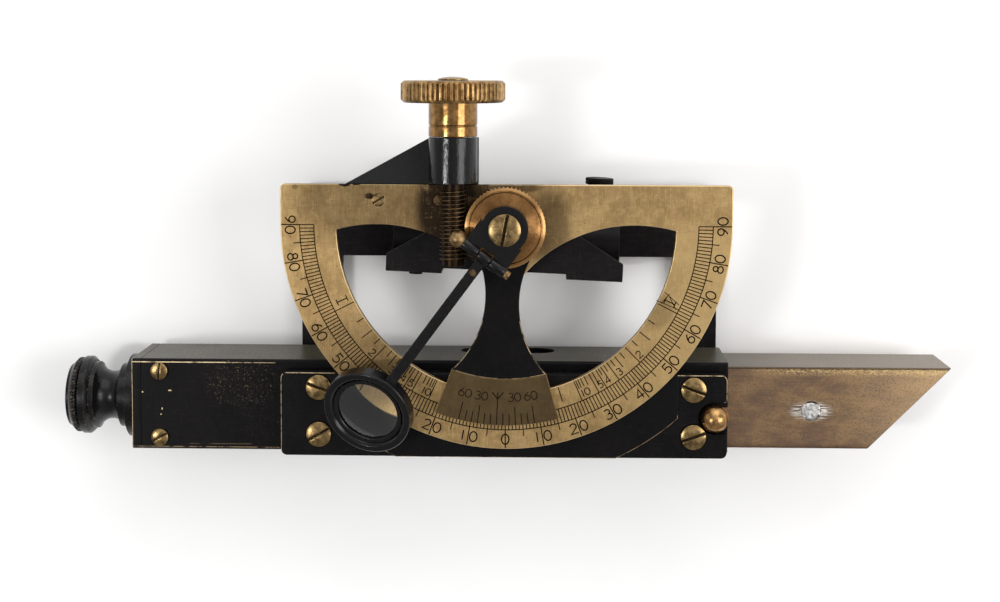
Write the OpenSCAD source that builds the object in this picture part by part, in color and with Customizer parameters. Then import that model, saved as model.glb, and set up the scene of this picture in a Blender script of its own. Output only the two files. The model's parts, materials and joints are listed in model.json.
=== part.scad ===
// Sighting level: a square sight tube with a draw tube, a graduated limb on its side, and a worm-driven
// index that carries the vernier, the bubble and a folding loupe. Millimetres. The origin is on the tube's
// underside, below the pivot. +X runs to the draw tube, +Z is up, and -Y faces whoever reads the limb.

/* [Sight tube] */
// outside width and height of the square tube
tube_size = 15.88; // [14:0.01:20]
// wall of the square tube
tube_wall = 0.8; // [0.6:0.1:1.2]
// rounding of the tube's long edges
tube_edge = 0.5; // [0.2:0.1:1]
// from the pivot to the outer face of the eye end
eye_reach = 65.1; // [58:0.1:80]
// from the pivot to the open end of the tube
open_reach = 38.2; // [36:0.1:46]
// length of the light window in the tube's top
window_length = 16.6; // [12:0.1:17]
// width of the light window
window_width = 5.3; // [4:0.1:6]
// from the tube's middle to the light window's middle, towards the far side, over the mirror
window_shift = 3.1; // [0:0.1:3.5]

/* [Eye end] */
// thickness of the end cap
cap_thick = 1.6; // [1:0.1:3]
// length of the plug inside the tube
plug_length = 7; // [6:0.1:10]
// from the cap's outer face to the fixing screws
end_screw_inset = 4.9; // [4:0.1:6]
// half the distance between the two fixing screws
end_screw_rise = 5.8; // [5:0.1:5.9]
// radius of the eyepiece spigot
spigot_radius = 3.9; // [3:0.1:4]
// length of the spigot inside the plug
spigot_length = 6; // [3:0.1:8]
// radius of the eyepiece's base, next to the cap
eye_base_radius = 7.3; // [6.5:0.1:7.6]
// length of the base
eye_base_length = 1.4; // [1:0.1:2]
// radius of the flange on the base
eye_flange_radius = 5.6; // [5.2:0.05:6.2]
// length of the flange
eye_flange_length = 1.6; // [1:0.1:2.5]
// radius of the neck at its narrowest
eye_neck_radius = 4.2; // [3.9:0.05:4.5]
// length of the hollowed neck between the flange and the rim's collar
eye_neck_length = 4.2; // [3.6:0.1:4.3]
// radius of the collar under the rim
eye_collar_radius = 5.9; // [5.6:0.05:6.2]
// radius of the eyepiece rim
eye_rim_radius = 6.85; // [6.5:0.05:7.5]
// length of the smooth part of the rim
eye_rim_length = 1.7; // [1.4:0.1:3]
// length of the fluted part of the rim
eye_flute_length = 1.8; // [1.6:0.1:3]
// radius of the peep hole
peep_radius = 1.4; // [0.8:0.1:2]
// number of flutes on the eyepiece rim
eye_flutes = 72; // [48:2:96]

/* [Draw tube] */
// from the pivot to the inner end when pushed home
draw_inner = 11; // [10:0.1:16]
// from the pivot to the tip when pushed home
draw_tip = 76.5; // [66:0.1:90]
// wall of the draw tube
draw_wall = 0.7; // [0.5:0.1:1]
// from the pivot to the ball stud
stud_reach = 35.6; // [35:0.1:36]
// height of the ball stud above the underside
stud_height = 6.9; // [6:0.1:8]
// radius of the ball
ball_radius = 2.4; // [2:0.1:2.6]
// from the pivot to the filled hole in the draw tube
fill_reach = 52.6; // [46:0.1:56]
// radius of the filled hole
fill_radius = 1.65; // [1:0.05:2.5]

/* [Side plate] */
// from the pivot to the plate's eye-side end
plate_left = 38.5; // [37:0.1:40]
// from the pivot to the plate's draw-side end
plate_right = 37.7; // [37:0.1:38.2]
// height of the plate
plate_height = 14.3; // [14:0.1:15.5]
// thickness of the plate
plate_thick = 3.7; // [3:0.1:5]
// rounding of the plate's corners
plate_corner = 1; // [0.5:0.1:2]
// radius of the raised seat about the pivot
seat_radius = 44.1; // [42:0.1:45]
// half the length of the raised seat
seat_half = 29.3; // [26:0.1:29.6]
// height of the raised seat
seat_step = 0.5; // [0.3:0.1:1]
// from the pivot to the plate screws
screw_reach = 32; // [31:0.1:34]
// height of the lower plate screws
screw_low = 3.7; // [3:0.1:4]
// height of the upper plate screws
screw_high = 11.8; // [11:0.1:12]
// head radius of the plate screws
plate_head = 2.15; // [1.8:0.05:2.3]

/* [Limb] */
// height of the pivot above the underside
pivot_height = 39.9; // [39.5:0.1:48]
// outer radius of the limb
limb_radius = 38.1; // [34:0.1:39]
// inner radius of the limb
limb_inner = 28.6; // [27:0.1:30]
// thickness of the limb
limb_thick = 1.4; // [1:0.1:2]
// from the pivot up to the limb's top edge
limb_rise = 6.9; // [6.5:0.1:8]
// rounding of the limb's top corners
limb_corner = 0.8; // [0.3:0.1:2]
// radius of the two arcs over the opening
lobe_radius = 25; // [23:0.1:28]
// from the pivot sideways to the centre of each arc
lobe_offset = 21.8; // [20:0.1:24]
// from the pivot up to the crown of each arc
lobe_crown = 0.1; // [-1:0.1:1]
// radius of the limb's hub
hub_radius = 7.8; // [7:0.1:8.5]

/* [Rear frame] */
// half the width of the rear frame
frame_half = 37.6; // [36:0.1:38]
// thickness of the rear frame
frame_thick = 2; // [1.5:0.1:3]
// width of each upright
upright_width = 7.4; // [6:0.1:9]
// from the pivot down to the underside of the bar
bar_drop = 7.7; // [6:0.1:9]
// from the pivot up to the top of the bar
bar_rise = 5.2; // [4:0.1:6]
// height of the uprights' feet above the underside
frame_foot = 1; // [0.5:0.1:2]

/* [Index and vernier] */
// reading of the index at rest, in degrees
index_rest = 2.5; // [-20:0.1:20]
// thickness of the vernier arm
arm_thick = 1.1; // [0.8:0.1:1.5]
// half the width of the arm's waist
waist_half = 2.85; // [2.4:0.05:3.5]
// from the pivot down to the waist
waist_drop = 12.5; // [11:0.1:14]
// half the width of the arm where it meets the vernier plate
flare_half = 7.9; // [7:0.1:8]
// radius where the arm meets the vernier plate
vernier_inner = 25.9; // [24:0.1:27]
// outer radius of the vernier plate
vernier_outer = 33.8; // [31:0.1:34]
// half the angle of the vernier plate, in degrees
vernier_half_angle = 18; // [17.8:0.1:20]
// radius of the arbor in the limb's bush
arbor_radius = 2.5; // [2.2:0.1:2.8]

/* [Worm gear] */
// teeth on the worm wheel
wheel_teeth = 60; // [50:1:72]
// pitch radius of the worm wheel
wheel_pitch_radius = 6.6; // [6:0.1:7]
// thickness of the worm wheel
wheel_thick = 2.4; // [2:0.1:3]
// pitch radius of the worm
worm_pitch_radius = 2.1; // [2:0.05:2.5]
// height of the teeth above the pitch line
tooth_rise = 0.15; // [0.1:0.01:0.18]
// depth of the teeth below the pitch line
tooth_root = 0.2; // [0.18:0.01:0.25]
// from the pivot down to the foot of the worm
worm_drop = 6.3; // [5.5:0.1:7]
// radius of the worm shaft in its bearing
shaft_radius = 1.7; // [1.4:0.05:1.8]
// radius of the bearing tube
bearing_radius = 4.05; // [3.5:0.05:4.5]
// length of the bearing tube
bearing_length = 7.7; // [6:0.1:10]
// length of the brass collar
collar_length = 5.6; // [4:0.1:8]
// radius of the knob
knob_radius = 8.65; // [7:0.05:10]
// thickness of the knob
knob_thick = 3.6; // [3:0.1:5]
// flutes on the knob's edge
knob_flutes = 60; // [40:2:80]
// length of the bracket's web along the limb
web_length = 18; // [14:0.1:20]

/* [Bubble] */
// half the length of the bubble cradle
cradle_half = 20.2; // [19:0.1:20.5]
// from the pivot down to the cradle's feet
cradle_drop = 9; // [8.5:0.1:9.5]
// thickness of the cradle's cheeks
cheek_thick = 1.4; // [1:0.1:2]
// outer radius of the bubble case
case_radius = 4.2; // [4:0.1:4.4]
// wall of the bubble case
case_wall = 0.6; // [0.5:0.1:0.8]
// half the length of the bubble case without its end plugs
case_half = 12.8; // [12:0.1:13]
// length of each end plug outside the case
case_plug_length = 6.9; // [6.5:0.1:7]
// from the pivot down to the bubble's axis
case_drop = 3.8; // [3.6:0.1:4]
// from the pivot sideways to each adjusting screw
adjust_reach = 15.8; // [15.5:0.1:16.5]
// from the pivot up to the seat of each adjusting screw's head
adjust_rise = 6.75; // [6:0.1:7]
// head radius of the adjusting screws
adjust_head = 2.45; // [2:0.05:2.5]

/* [Loupe] */
// swing of the loupe from straight down at rest, in degrees
loupe_rest = 36.6; // [0:0.1:60]
// radius of the swivel ring
swivel_radius = 3.9; // [3.6:0.1:4.2]
// from the pivot to the hinge pin
hinge_reach = 5.74; // [5.6:0.02:6]
// half the length of the hinge
hinge_half = 4.2; // [4:0.1:4.4]
// radius of the hinge knuckles
knuckle_radius = 1; // [0.8:0.05:1.1]
// radius of the hinge pin
pin_radius = 0.45; // [0.35:0.05:0.5]
// from the pivot to the middle of the lens
lens_reach = 38.2; // [36:0.1:39]
// outward lean of the lens cell, in degrees
cell_lean = 27; // [20:1:30]
// outer radius of the lens cell
cell_radius = 7.7; // [7:0.1:8]
// length of the lens cell along its axis
cell_thick = 2.4; // [2:0.1:3]
// radius of the clear aperture
aperture_radius = 5.2; // [5:0.1:5.8]
// width of the loupe arm
loupe_arm_width = 1.75; // [1.4:0.05:2]
// thickness of the loupe arm
loupe_arm_thick = 0.8; // [0.6:0.05:1]

/* [Hidden] */
$fn = 64;

// clearances and fits
slide_clear = 0.05;
run_clear = 0.04;
face_clear = 0.1;
side_clear = 0.3;
worm_clear = 0.25;
stud_clear = 0.35;
slot_clear = 0.15;
head_clear = 0.08;
case_gap = 0.4;
vial_gap = 0.15;
thread_gap = 0.04;
// how far a cutting shape runs past what it cuts
cut = 1;
// rounding of square bores, inside and outside the draw tube
bore_edge = 0.1;
draw_edge = 0.35;
draw_bore_edge = 0.2;

// depths in front of the tube's middle plane
tube_face = tube_size / 2;
plate_face = tube_face + plate_thick;
seat_face = plate_face + seat_step;
limb_face = seat_face + limb_thick;
arm_back = limb_face + face_clear;
arm_face = arm_back + arm_thick;
worm_tip = worm_pitch_radius + tooth_rise;
worm_core = worm_pitch_radius - tooth_root;
worm_depth = arm_face + worm_clear + worm_tip;
wheel_face = worm_depth + wheel_thick / 2;
wheel_back = worm_depth - wheel_thick / 2;
swivel_back = wheel_face + face_clear;
swivel_shelf = worm_depth + worm_tip + side_clear;
swivel_plate = 1.2;
swivel_face = swivel_shelf + swivel_plate;
hinge_rise = 0.2;
hinge_depth = swivel_face + hinge_rise;

// bracket, cradle and bubble, behind the limb
bracket_thick = 1.2;
bracket_back = seat_face - bracket_thick;
cheek_face = bracket_back - side_clear;
cheek_back = cheek_face - cheek_thick;
case_depth = 0;
rear_cheek_face = case_depth - case_radius - case_gap;
rear_cheek_back = rear_cheek_face - cheek_thick;
frame_back = tube_face + frame_thick;
cheek_end = 3;
cheek_peak = 3.5;
cheek_flat = 4;
foot_inner = 10.6;
foot_step = 0.9;
foot_thick = cradle_drop - case_drop - case_radius;
trunnion_radius = 1.5;
case_boss = 2;
plug_spigot = 2;
case_window_length = 16.6;
case_window_width = 4.6;
adjust_shank = 1.2;
adjust_head_thick = 1.1;
adjust_dome = 0.15;
adjust_tip = 1.6;
adjust_slot = 25;

// tube and draw tube
tube_bore = tube_size - 2 * tube_wall;
draw_size = tube_bore - 2 * slide_clear;
draw_bore = draw_size - 2 * draw_wall;
draw_face = draw_size / 2;
middle = tube_size / 2;
shank_radius = 1;
stud_collar = 1.7;
stud_collar_gap = 0.2;
stud_collar_thick = 1;
notch_half = ball_radius + stud_clear;
slot_half = shank_radius + slot_clear;
fill_height = middle - 0.5;
wire_back = 4.5;
wire_frame_thick = 1.5;
wire_frame_rim = 1.2;
wire_radius = 0.15;

// screws
plate_shank = 1.1;
plate_head_thick = 1;
plate_head_proud = 0.35;
plate_dome = 0.25;
plate_slots = [[30, -20], [20, -20]];
end_head = 1.48;
end_head_thick = 0.55;
end_dome = 0.2;
end_shank = 0.75;
end_bite = 1.6;
end_slots = [30, 85];
fix_head = 1.1;
fix_head_thick = 0.6;
fix_dome = 0.1;
fix_sink = 0.02;
fix_shank = 0.6;
fix_slot = 35;
fix_pin_head = 0.94;
fix_pin_sink = 0.05;
fix_rise = 4.2;
fix_screw_x = -21.5;
fix_pin_x = -11.3;
frame_head = 1.8;
frame_head_thick = 0.9;
frame_dome = 0.25;
frame_shank = 0.9;
frame_slots = [[-7, 66], [73, 146]];

// worm gear
wheel_distance = wheel_pitch_radius + worm_pitch_radius;
tooth_pitch = 2 * PI * wheel_pitch_radius / wheel_teeth;
tooth_play = 0.17;
thread_share = 0.01;
thread_thick = (tooth_pitch - tooth_play) / 2 + thread_share;
tooth_thick = (tooth_pitch - tooth_play) / 2 - thread_share;
flank_slope = tan(20);
wheel_tip = wheel_pitch_radius + tooth_rise;
wheel_root = wheel_pitch_radius - tooth_root;
wheel_boss = 4.1;
wheel_step = 0.25;
wheel_lip = 0.1;
bearing_lift = 0.5;
bearing_foot = pivot_height + limb_rise + bearing_lift;
bearing_head = bearing_foot + bearing_length;
collar_foot = bearing_head + face_clear;
collar_head = collar_foot + collar_length;
knob_head = collar_head + knob_thick;
worm_head = bearing_foot - face_clear;
worm_foot = pivot_height - worm_drop;
thread_steps = 20;
worm_turns = floor((worm_head - worm_foot - tooth_pitch) / tooth_pitch);
bush_radius = 4.5;
bush_flange = 6;
groove_rise = 1.8;
groove_radius = 0.14;
knob_flute_depth = 0.35;
knob_chamfer = 0.5;
knob_screw_head = 2.5;
knob_screw_thick = 0.3;
knob_screw_dome = 0.35;
knob_screw_play = 0.1;
knob_screw_shank = shaft_radius - knob_screw_play;
knob_screw_bite = 0.75;
knob_screw_slot = 20;
// the bracket's plate behind the limb, its web above the limb and the neck that carries the bearing
bracket_end = wheel_distance + bearing_radius + web_length - 4.5;
bracket_foot = 1.2;
web_end = wheel_distance + bearing_radius + web_length - 3.6;
web_gap = 0.3;
web_rise = bearing_head - pivot_height - web_gap;
neck_half = bearing_radius - 0.4;
arbor_step = 0.3;
arbor_front = arbor_radius - arbor_step;
arm_hub = 5.5;
spigot_front = 1.7;
centre_head = 2.68;
centre_head_thick = 1;
centre_dome = 0.35;
centre_shank = 0.9;
centre_bite = 2.4;
centre_slot = 79;

// eye end, from the cap's outer face outwards
eye_gap = 0.3;
neck_start = eye_gap + eye_base_length + eye_flange_length;
cove_radius = 2.6;
cove_middle = 1.8;
collar_start = neck_start + eye_neck_length;
rim_start = collar_start + 0.8;
flute_start = rim_start + eye_rim_length;
lip_start = flute_start + eye_flute_length;
eye_length = lip_start + 0.6;
lip_radius = eye_rim_radius - 1.35;
eye_flute_depth = 0.22;
eye_chamfer = 0.65;
flute_step = 0.25;
cup_depth = 1.8;
cup_radius = lip_radius - 0.7;
eye_lens_radius = 3;
eye_lens_thick = 1.6;
eye_lens_inset = 0.5;
cell_lip = 0.5;
lens_lift = 0.08;
lens_radius = 6;
lens_edge = 0.8;
lens_curve = 18;
lens_back_curve = 45;
lens_sag = lens_curve - sqrt(lens_curve * lens_curve - lens_radius * lens_radius);
lens_back_sag = lens_back_curve - sqrt(lens_back_curve * lens_back_curve - lens_radius * lens_radius);
lens_seat = cell_lip - cell_thick / 2 + lens_lift;
cell_edge = 0.2;
cell_mouth = 0.6;
cell_play = 0.1;
ring_gap = 0.05;
ring_thick = 0.55;
ring_bevel = 0.2;
ring_rise = (lens_radius - aperture_radius) * lens_radius / lens_curve;
cell_depth = hinge_depth - cell_radius * sin(cell_lean);
// hinge and arm of the loupe
knuckle_gap = 0.2;
knuckle_half = loupe_arm_width / 2 + 0.25;
notch_reach = hinge_reach + 2;
notch_back = hinge_reach - knuckle_radius - side_clear;
pin_head = 1.5;
pin_head_rise = 1.05;
pin_nut = 0.75;
pin_nut_length = 0.9;
pin_slot = 0.25;
pin_slot_depth = 0.3;
rivet_reach = hinge_reach + 3;
rivet_radius = 0.5;
rivet_head = 0.62;
rivet_top = 0.45;
rivet_rise = 0.2;
// the mirror at 45 degrees fills the far half of the tube, under the window
mirror_rise = tube_bore - 1.6;
mirror_foot = -mirror_rise / 2;
mirror_near = 0.2;
mirror_deep = tube_bore / 2 - 0.3;
mirror_thick = 0.8;
mirror_start = 1.2;
mirror_length = mirror_rise * sqrt(2) - 1.8;
// the arm's hollow sides, as arcs from the waist to the flare
flare_drop = sqrt(vernier_inner * vernier_inner - flare_half * flare_half);
side_rise = flare_drop - waist_drop;
side_step = flare_half - waist_half;
side_radius = (side_rise * side_rise + side_step * side_step) / (2 * side_step);

black_bronze = [0.09, 0.085, 0.08];
aged_brass = [0.62, 0.52, 0.32];
bright_brass = [0.78, 0.58, 0.26];
clear_glass = [0.75, 0.85, 0.82, 0.5];
steel = [0.6, 0.6, 0.62];
silvered = [0.8, 0.82, 0.84];

// a shape drawn in XY, seen from the front, whose thickness grows towards the reader
module front(depth) {
    translate([0, -depth, 0]) rotate([90, 0, 0]) children();
}

// the same, drawn about the pivot
module at_pivot(depth) {
    translate([0, -depth, pivot_height]) rotate([90, 0, 0]) children();
}

// what turns with the index, drawn at a zero reading
module at_index(depth) {
    at_pivot(depth) rotate([0, 0, -index_rest]) children();
}

// what swings with the loupe, drawn pointing straight down
module at_loupe(depth) {
    at_pivot(depth) rotate([0, 0, -loupe_rest]) children();
}

// the lens cell's own axis, from the middle of the cell towards the reader
module at_cell() {
    at_loupe(cell_depth) translate([0, -lens_reach, 0]) rotate([cell_lean, 0, 0]) children();
}

// the worm's own axis, measured up from the underside
module at_worm(height) {
    translate([-wheel_distance, -worm_depth, height]) children();
}

// the eyepiece's axis, pointing outwards from the cap
module at_eye(out) {
    translate([-eye_reach - out, 0, middle]) rotate([0, -90, 0]) children();
}

// a slot with round ends
module oval(length, width) {
    square([length - width, width], center = true);
    for (side = [-1, 1]) translate([side * (length - width) / 2, 0]) circle(width / 2);
}

module rounded_rect(width, height, r) {
    square([width - 2 * r, height], center = true);
    square([width, height - 2 * r], center = true);
    for (sx = [-1, 1], sy = [-1, 1])
        translate([sx * (width / 2 - r), sy * (height / 2 - r)]) circle(r);
}

// a square bar along X, on the tube's axis
module square_bar(from, to, size, r) {
    translate([from, 0, middle]) rotate([90, 0, 90]) linear_extrude(to - from) rounded_rect(size, size, r);
}

// a slotted screw whose head stands on z = 0 and whose shank runs down
module slotted_screw(head, thick, dome, shank, length, slot_angle) {
    ball = (head * head + dome * dome) / (2 * dome);
    difference() {
        union() {
            intersection() {
                cylinder(r = head, h = thick + dome);
                translate([0, 0, thick + dome - ball]) sphere(ball, $fn = 192);
            }
            translate([0, 0, -length]) cylinder(r = shank, h = length + thick / 2);
        }
        rotate([0, 0, slot_angle]) translate([0, 0, thick + dome])
            cube([2 * head + cut, head * 0.22, thick + dome * 0.6], center = true);
    }
}

// a disc with a fluted edge and chamfered rims
module fluted_disc(r, thick, flutes, depth, chamfer) {
    step = 360 / flutes;
    intersection() {
        linear_extrude(thick) polygon([for (i = [0:flutes - 1], k = [0:2])
            let (a = (i + [0, 0.42, 0.71][k]) * step, d = [0, 0, 1][k] * depth)
            [(r - d) * cos(a), (r - d) * sin(a)]]);
        rotate_extrude() polygon([[0, 0], [r - chamfer, 0], [r + cut, chamfer + cut],
            [r + cut, thick - chamfer - cut], [r - chamfer, thick], [0, thick]]);
    }
}

module plate_screw_places() {
    for (sx = [-1, 1], z = [screw_low, screw_high]) translate([sx * screw_reach, z]) children();
}

module end_screw_places() {
    for (sz = [-1, 1]) translate([-eye_reach + end_screw_inset, middle + sz * end_screw_rise]) children();
}

module frame_screw_places() {
    for (sx = [-1, 1], z = [screw_low, screw_high])
        translate([sx * (frame_half - upright_width / 2), z]) children();
}

module sight_tube() color(black_bronze) difference() {
    square_bar(-eye_reach + cap_thick, open_reach, tube_size, tube_edge);
    square_bar(-eye_reach, open_reach + cut, tube_bore, bore_edge);
    translate([0, window_shift, middle]) linear_extrude(tube_size) oval(window_length, window_width);
    front(draw_face) linear_extrude(plate_thick) translate([stud_reach, stud_height]) {
        circle(slot_half);
        translate([0, -slot_half]) square([open_reach, 2 * slot_half]);
    }
    front(draw_face) linear_extrude(plate_thick) plate_screw_places() circle(plate_shank);
    front(-draw_face - plate_thick) linear_extrude(plate_thick) frame_screw_places() circle(frame_shank);
    front(draw_face) linear_extrude(plate_thick) end_screw_places() circle(end_shank);
}

module eye_end() color(black_bronze) difference() {
    union() {
        square_bar(-eye_reach, -eye_reach + cap_thick, tube_size, tube_edge);
        square_bar(-eye_reach + cap_thick, -eye_reach + cap_thick + plug_length, tube_bore, bore_edge);
    }
    at_eye(-cap_thick - plug_length - cut)
        cylinder(r = spigot_radius + run_clear, h = cap_thick + plug_length + 2 * cut);
    front(tube_face - tube_wall - end_bite) linear_extrude(plate_thick) end_screw_places() circle(end_shank);
}

module end_screws() color(bright_brass) for (k = [0, 1])
    front(tube_face) translate([-eye_reach + end_screw_inset, middle + (2 * k - 1) * end_screw_rise])
        slotted_screw(end_head, end_head_thick, end_dome, end_shank, tube_wall + end_bite, end_slots[k]);

module side_plate() color(black_bronze) difference() {
    union() {
        front(tube_face) linear_extrude(plate_thick)
            translate([(plate_right - plate_left) / 2, plate_height / 2])
                rounded_rect(plate_left + plate_right, plate_height, plate_corner);
        front(plate_face) linear_extrude(seat_step) intersection() {
            translate([0, pivot_height]) circle(seat_radius, $fn = 128);
            translate([-seat_half, 0]) square([2 * seat_half, plate_height]);
        }
    }
    front(tube_face - cut) linear_extrude(plate_thick + 2 * cut) translate([stud_reach, stud_height]) {
        circle(notch_half);
        translate([0, -notch_half]) square([plate_right, 2 * notch_half]);
    }
    front(tube_face - cut) linear_extrude(plate_thick + 2 * cut) plate_screw_places() circle(plate_shank);
    front(plate_face - plate_head_thick + plate_head_proud) linear_extrude(plate_thick)
        plate_screw_places() circle(plate_head + head_clear);
}

module plate_screws() color(bright_brass) for (i = [0, 1], k = [0, 1])
    front(plate_face - plate_head_thick + plate_head_proud)
        translate([(2 * i - 1) * screw_reach, [screw_low, screw_high][k]])
            slotted_screw(plate_head, plate_head_thick, plate_dome, plate_shank,
                plate_thick - plate_head_thick + plate_head_proud + tube_wall, plate_slots[i][k]);

// the limb's outline: a half disc with straight sides above the pivot
module limb_outline() {
    intersection() {
        circle(limb_radius, $fn = 128);
        translate([-limb_radius, -limb_radius]) square([2 * limb_radius, limb_radius]);
    }
    translate([0, (limb_rise - limb_radius) / 2]) intersection() {
        rounded_rect(2 * limb_radius, limb_rise + limb_radius, limb_corner);
        translate([-limb_radius, (limb_radius - limb_rise) / 2]) square([2 * limb_radius, limb_rise]);
    }
}

module limb_opening() {
    difference() {
        intersection() {
            circle(limb_inner, $fn = 128);
            union() for (sx = [-1, 1])
                translate([sx * lobe_offset, lobe_crown - lobe_radius]) circle(lobe_radius, $fn = 128);
        }
        circle(hub_radius);
    }
}

module limb() color(aged_brass) difference() {
    at_pivot(seat_face) linear_extrude(limb_thick) difference() {
        limb_outline();
        limb_opening();
        circle(bush_radius);
        translate([fix_screw_x, fix_rise]) circle(fix_shank);
        translate([fix_pin_x, fix_rise]) circle(fix_shank);
    }
    at_pivot(limb_face - fix_head_thick) linear_extrude(limb_thick) {
        translate([fix_screw_x, fix_rise]) circle(fix_head);
        translate([fix_pin_x, fix_rise]) circle(fix_pin_head);
    }
}

module limb_bush() color(bright_brass) difference() {
    union() {
        at_pivot(seat_face) cylinder(r = bush_radius, h = limb_thick);
        at_pivot(bracket_back) cylinder(r = bush_flange, h = bracket_thick);
    }
    at_pivot(bracket_back - cut)
        cylinder(r = arbor_radius + run_clear, h = bracket_thick + limb_thick + 2 * cut);
}

module rear_frame() color(black_bronze) front(-frame_back) linear_extrude(frame_thick) difference() {
    translate([0, (pivot_height + bar_rise + frame_foot) / 2])
        rounded_rect(2 * frame_half, pivot_height + bar_rise - frame_foot, plate_corner);
    translate([upright_width - frame_half, frame_foot - cut])
        square([2 * (frame_half - upright_width), pivot_height - bar_drop - frame_foot + cut]);
    translate([0, pivot_height]) circle(trunnion_radius + run_clear);
    frame_screw_places() circle(frame_shank);
}

module frame_screws() color(bright_brass) for (i = [0, 1], k = [0, 1])
    translate([(2 * i - 1) * (frame_half - upright_width / 2), frame_back, [screw_low, screw_high][k]])
        rotate([-90, 0, 0]) slotted_screw(frame_head, frame_head_thick, frame_dome, frame_shank,
            frame_thick + tube_wall, frame_slots[i][k]);

module worm_bracket() color(black_bronze) difference() {
    union() {
        at_pivot(bracket_back) linear_extrude(bracket_thick) translate([-bracket_end, bracket_foot])
            square([bracket_end - bush_flange - cut, limb_rise - bracket_foot]);
        at_pivot(bracket_back) linear_extrude(limb_face - face_clear - bracket_back) polygon([
            [-web_end, limb_rise], [bearing_radius - wheel_distance, limb_rise],
            [bearing_radius - wheel_distance, web_rise], [-wheel_distance - bearing_radius, web_rise]]);
        at_pivot(bracket_back) linear_extrude(worm_depth - bracket_back)
            translate([-wheel_distance - neck_half, limb_rise + bearing_lift])
                square([2 * neck_half, web_rise - limb_rise - bearing_lift]);
        at_worm(bearing_foot) cylinder(r = bearing_radius, h = bearing_length);
    }
    at_worm(bearing_foot - cut) cylinder(r = shaft_radius + run_clear, h = bearing_length + 2 * cut);
    at_pivot(bracket_back - cut) linear_extrude(bracket_thick + 2 * cut) {
        translate([fix_screw_x, fix_rise]) circle(fix_shank);
        translate([fix_pin_x, fix_rise]) circle(fix_shank);
    }
}

module bracket_screw() color(bright_brass) at_pivot(limb_face - fix_head_thick)
    translate([fix_screw_x, fix_rise]) slotted_screw(fix_head, fix_head_thick - fix_dome - fix_sink, fix_dome,
        fix_shank, limb_thick + bracket_thick - fix_head_thick, fix_slot);

module bracket_pin() color(aged_brass) at_pivot(bracket_back) translate([fix_pin_x, fix_rise]) {
    cylinder(r = fix_shank, h = bracket_thick + limb_thick - fix_head_thick);
    translate([0, 0, bracket_thick + limb_thick - fix_head_thick])
        cylinder(r = fix_pin_head, h = fix_head_thick - fix_pin_sink);
}

module mirror_block() color(black_bronze) translate([0, mirror_near + mirror_deep, 0]) rotate([90, 0, 0])
    linear_extrude(mirror_deep) polygon([[mirror_foot, tube_wall], [mirror_foot + mirror_rise, tube_wall],
        [mirror_foot + mirror_rise, tube_wall + mirror_rise]]);

module mirror() color(silvered) translate([mirror_foot, mirror_near, tube_wall]) rotate([0, -45, 0])
    translate([mirror_start, 0, 0]) cube([mirror_length, mirror_deep, mirror_thick]);

module index_arbor() color(bright_brass) difference() {
    union() {
        at_pivot(cheek_back) cylinder(r = arbor_front, h = cheek_thick);
        at_pivot(cheek_face) cylinder(r = arbor_radius, h = arm_back - cheek_face);
        at_pivot(arm_back) cylinder(r = arbor_front, h = wheel_face - arm_back);
        at_pivot(wheel_face) cylinder(r = spigot_front, h = swivel_face - wheel_face);
    }
    at_pivot(swivel_face - centre_bite) cylinder(r = centre_shank, h = centre_bite + cut);
}

// tooth flanks as points for a wheel tooth at an angle
function tooth_points(a) = [for (k = [0:3])
    let (r = [wheel_root, wheel_tip, wheel_tip, wheel_root][k], s = [-1, -1, 1, 1][k],
        half = tooth_thick / 2 - (r - wheel_pitch_radius) * flank_slope)
    [r * cos(a) - s * half * sin(a), r * sin(a) + s * half * cos(a)]];

module worm_wheel() color(bright_brass) difference() {
    union() {
        at_pivot(wheel_back) linear_extrude(wheel_thick) polygon([for (i = [0:wheel_teeth - 1])
            each tooth_points(180 + (i + 0.5) * 360 / wheel_teeth)]);
        at_pivot(arm_face) cylinder(r = wheel_boss, h = worm_depth - arm_face);
    }
    at_pivot(arm_face - cut) cylinder(r = arbor_front, h = wheel_face - arm_face + 2 * cut);
    at_pivot(wheel_face - wheel_step) difference() {
        cylinder(r = wheel_tip + cut, h = cut);
        translate([0, 0, -cut]) cylinder(r = wheel_root - wheel_lip, h = 3 * cut);
    }
}

module vernier_arm() color(black_bronze) at_index(arm_back) linear_extrude(arm_thick) difference() {
    union() {
        circle(arm_hub);
        intersection() {
            circle(vernier_inner, $fn = 128);
            translate([-flare_half, -vernier_inner]) square([2 * flare_half, vernier_inner]);
        }
    }
    for (sx = [-1, 1])
        translate([sx * (waist_half + side_radius), -waist_drop]) circle(side_radius, $fn = 128);
    circle(arbor_front);
}

module vernier_plate() color(aged_brass) at_index(arm_back) rotate([0, 0, -90 - vernier_half_angle])
    rotate_extrude(angle = 2 * vernier_half_angle, $fn = 128)
        translate([vernier_inner, 0]) square([vernier_outer - vernier_inner, arm_thick]);

module cheek_outline() {
    polygon([[-cradle_half, -cradle_drop], [-foot_inner, -cradle_drop],
        [-foot_inner, foot_step - cradle_drop], [foot_inner, foot_step - cradle_drop],
        [foot_inner, -cradle_drop], [cradle_half, -cradle_drop],
        [cradle_half, cheek_end - cradle_drop], [cheek_flat, cheek_peak], [-cheek_flat, cheek_peak],
        [-cradle_half, cheek_end - cradle_drop]]);
}

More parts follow.
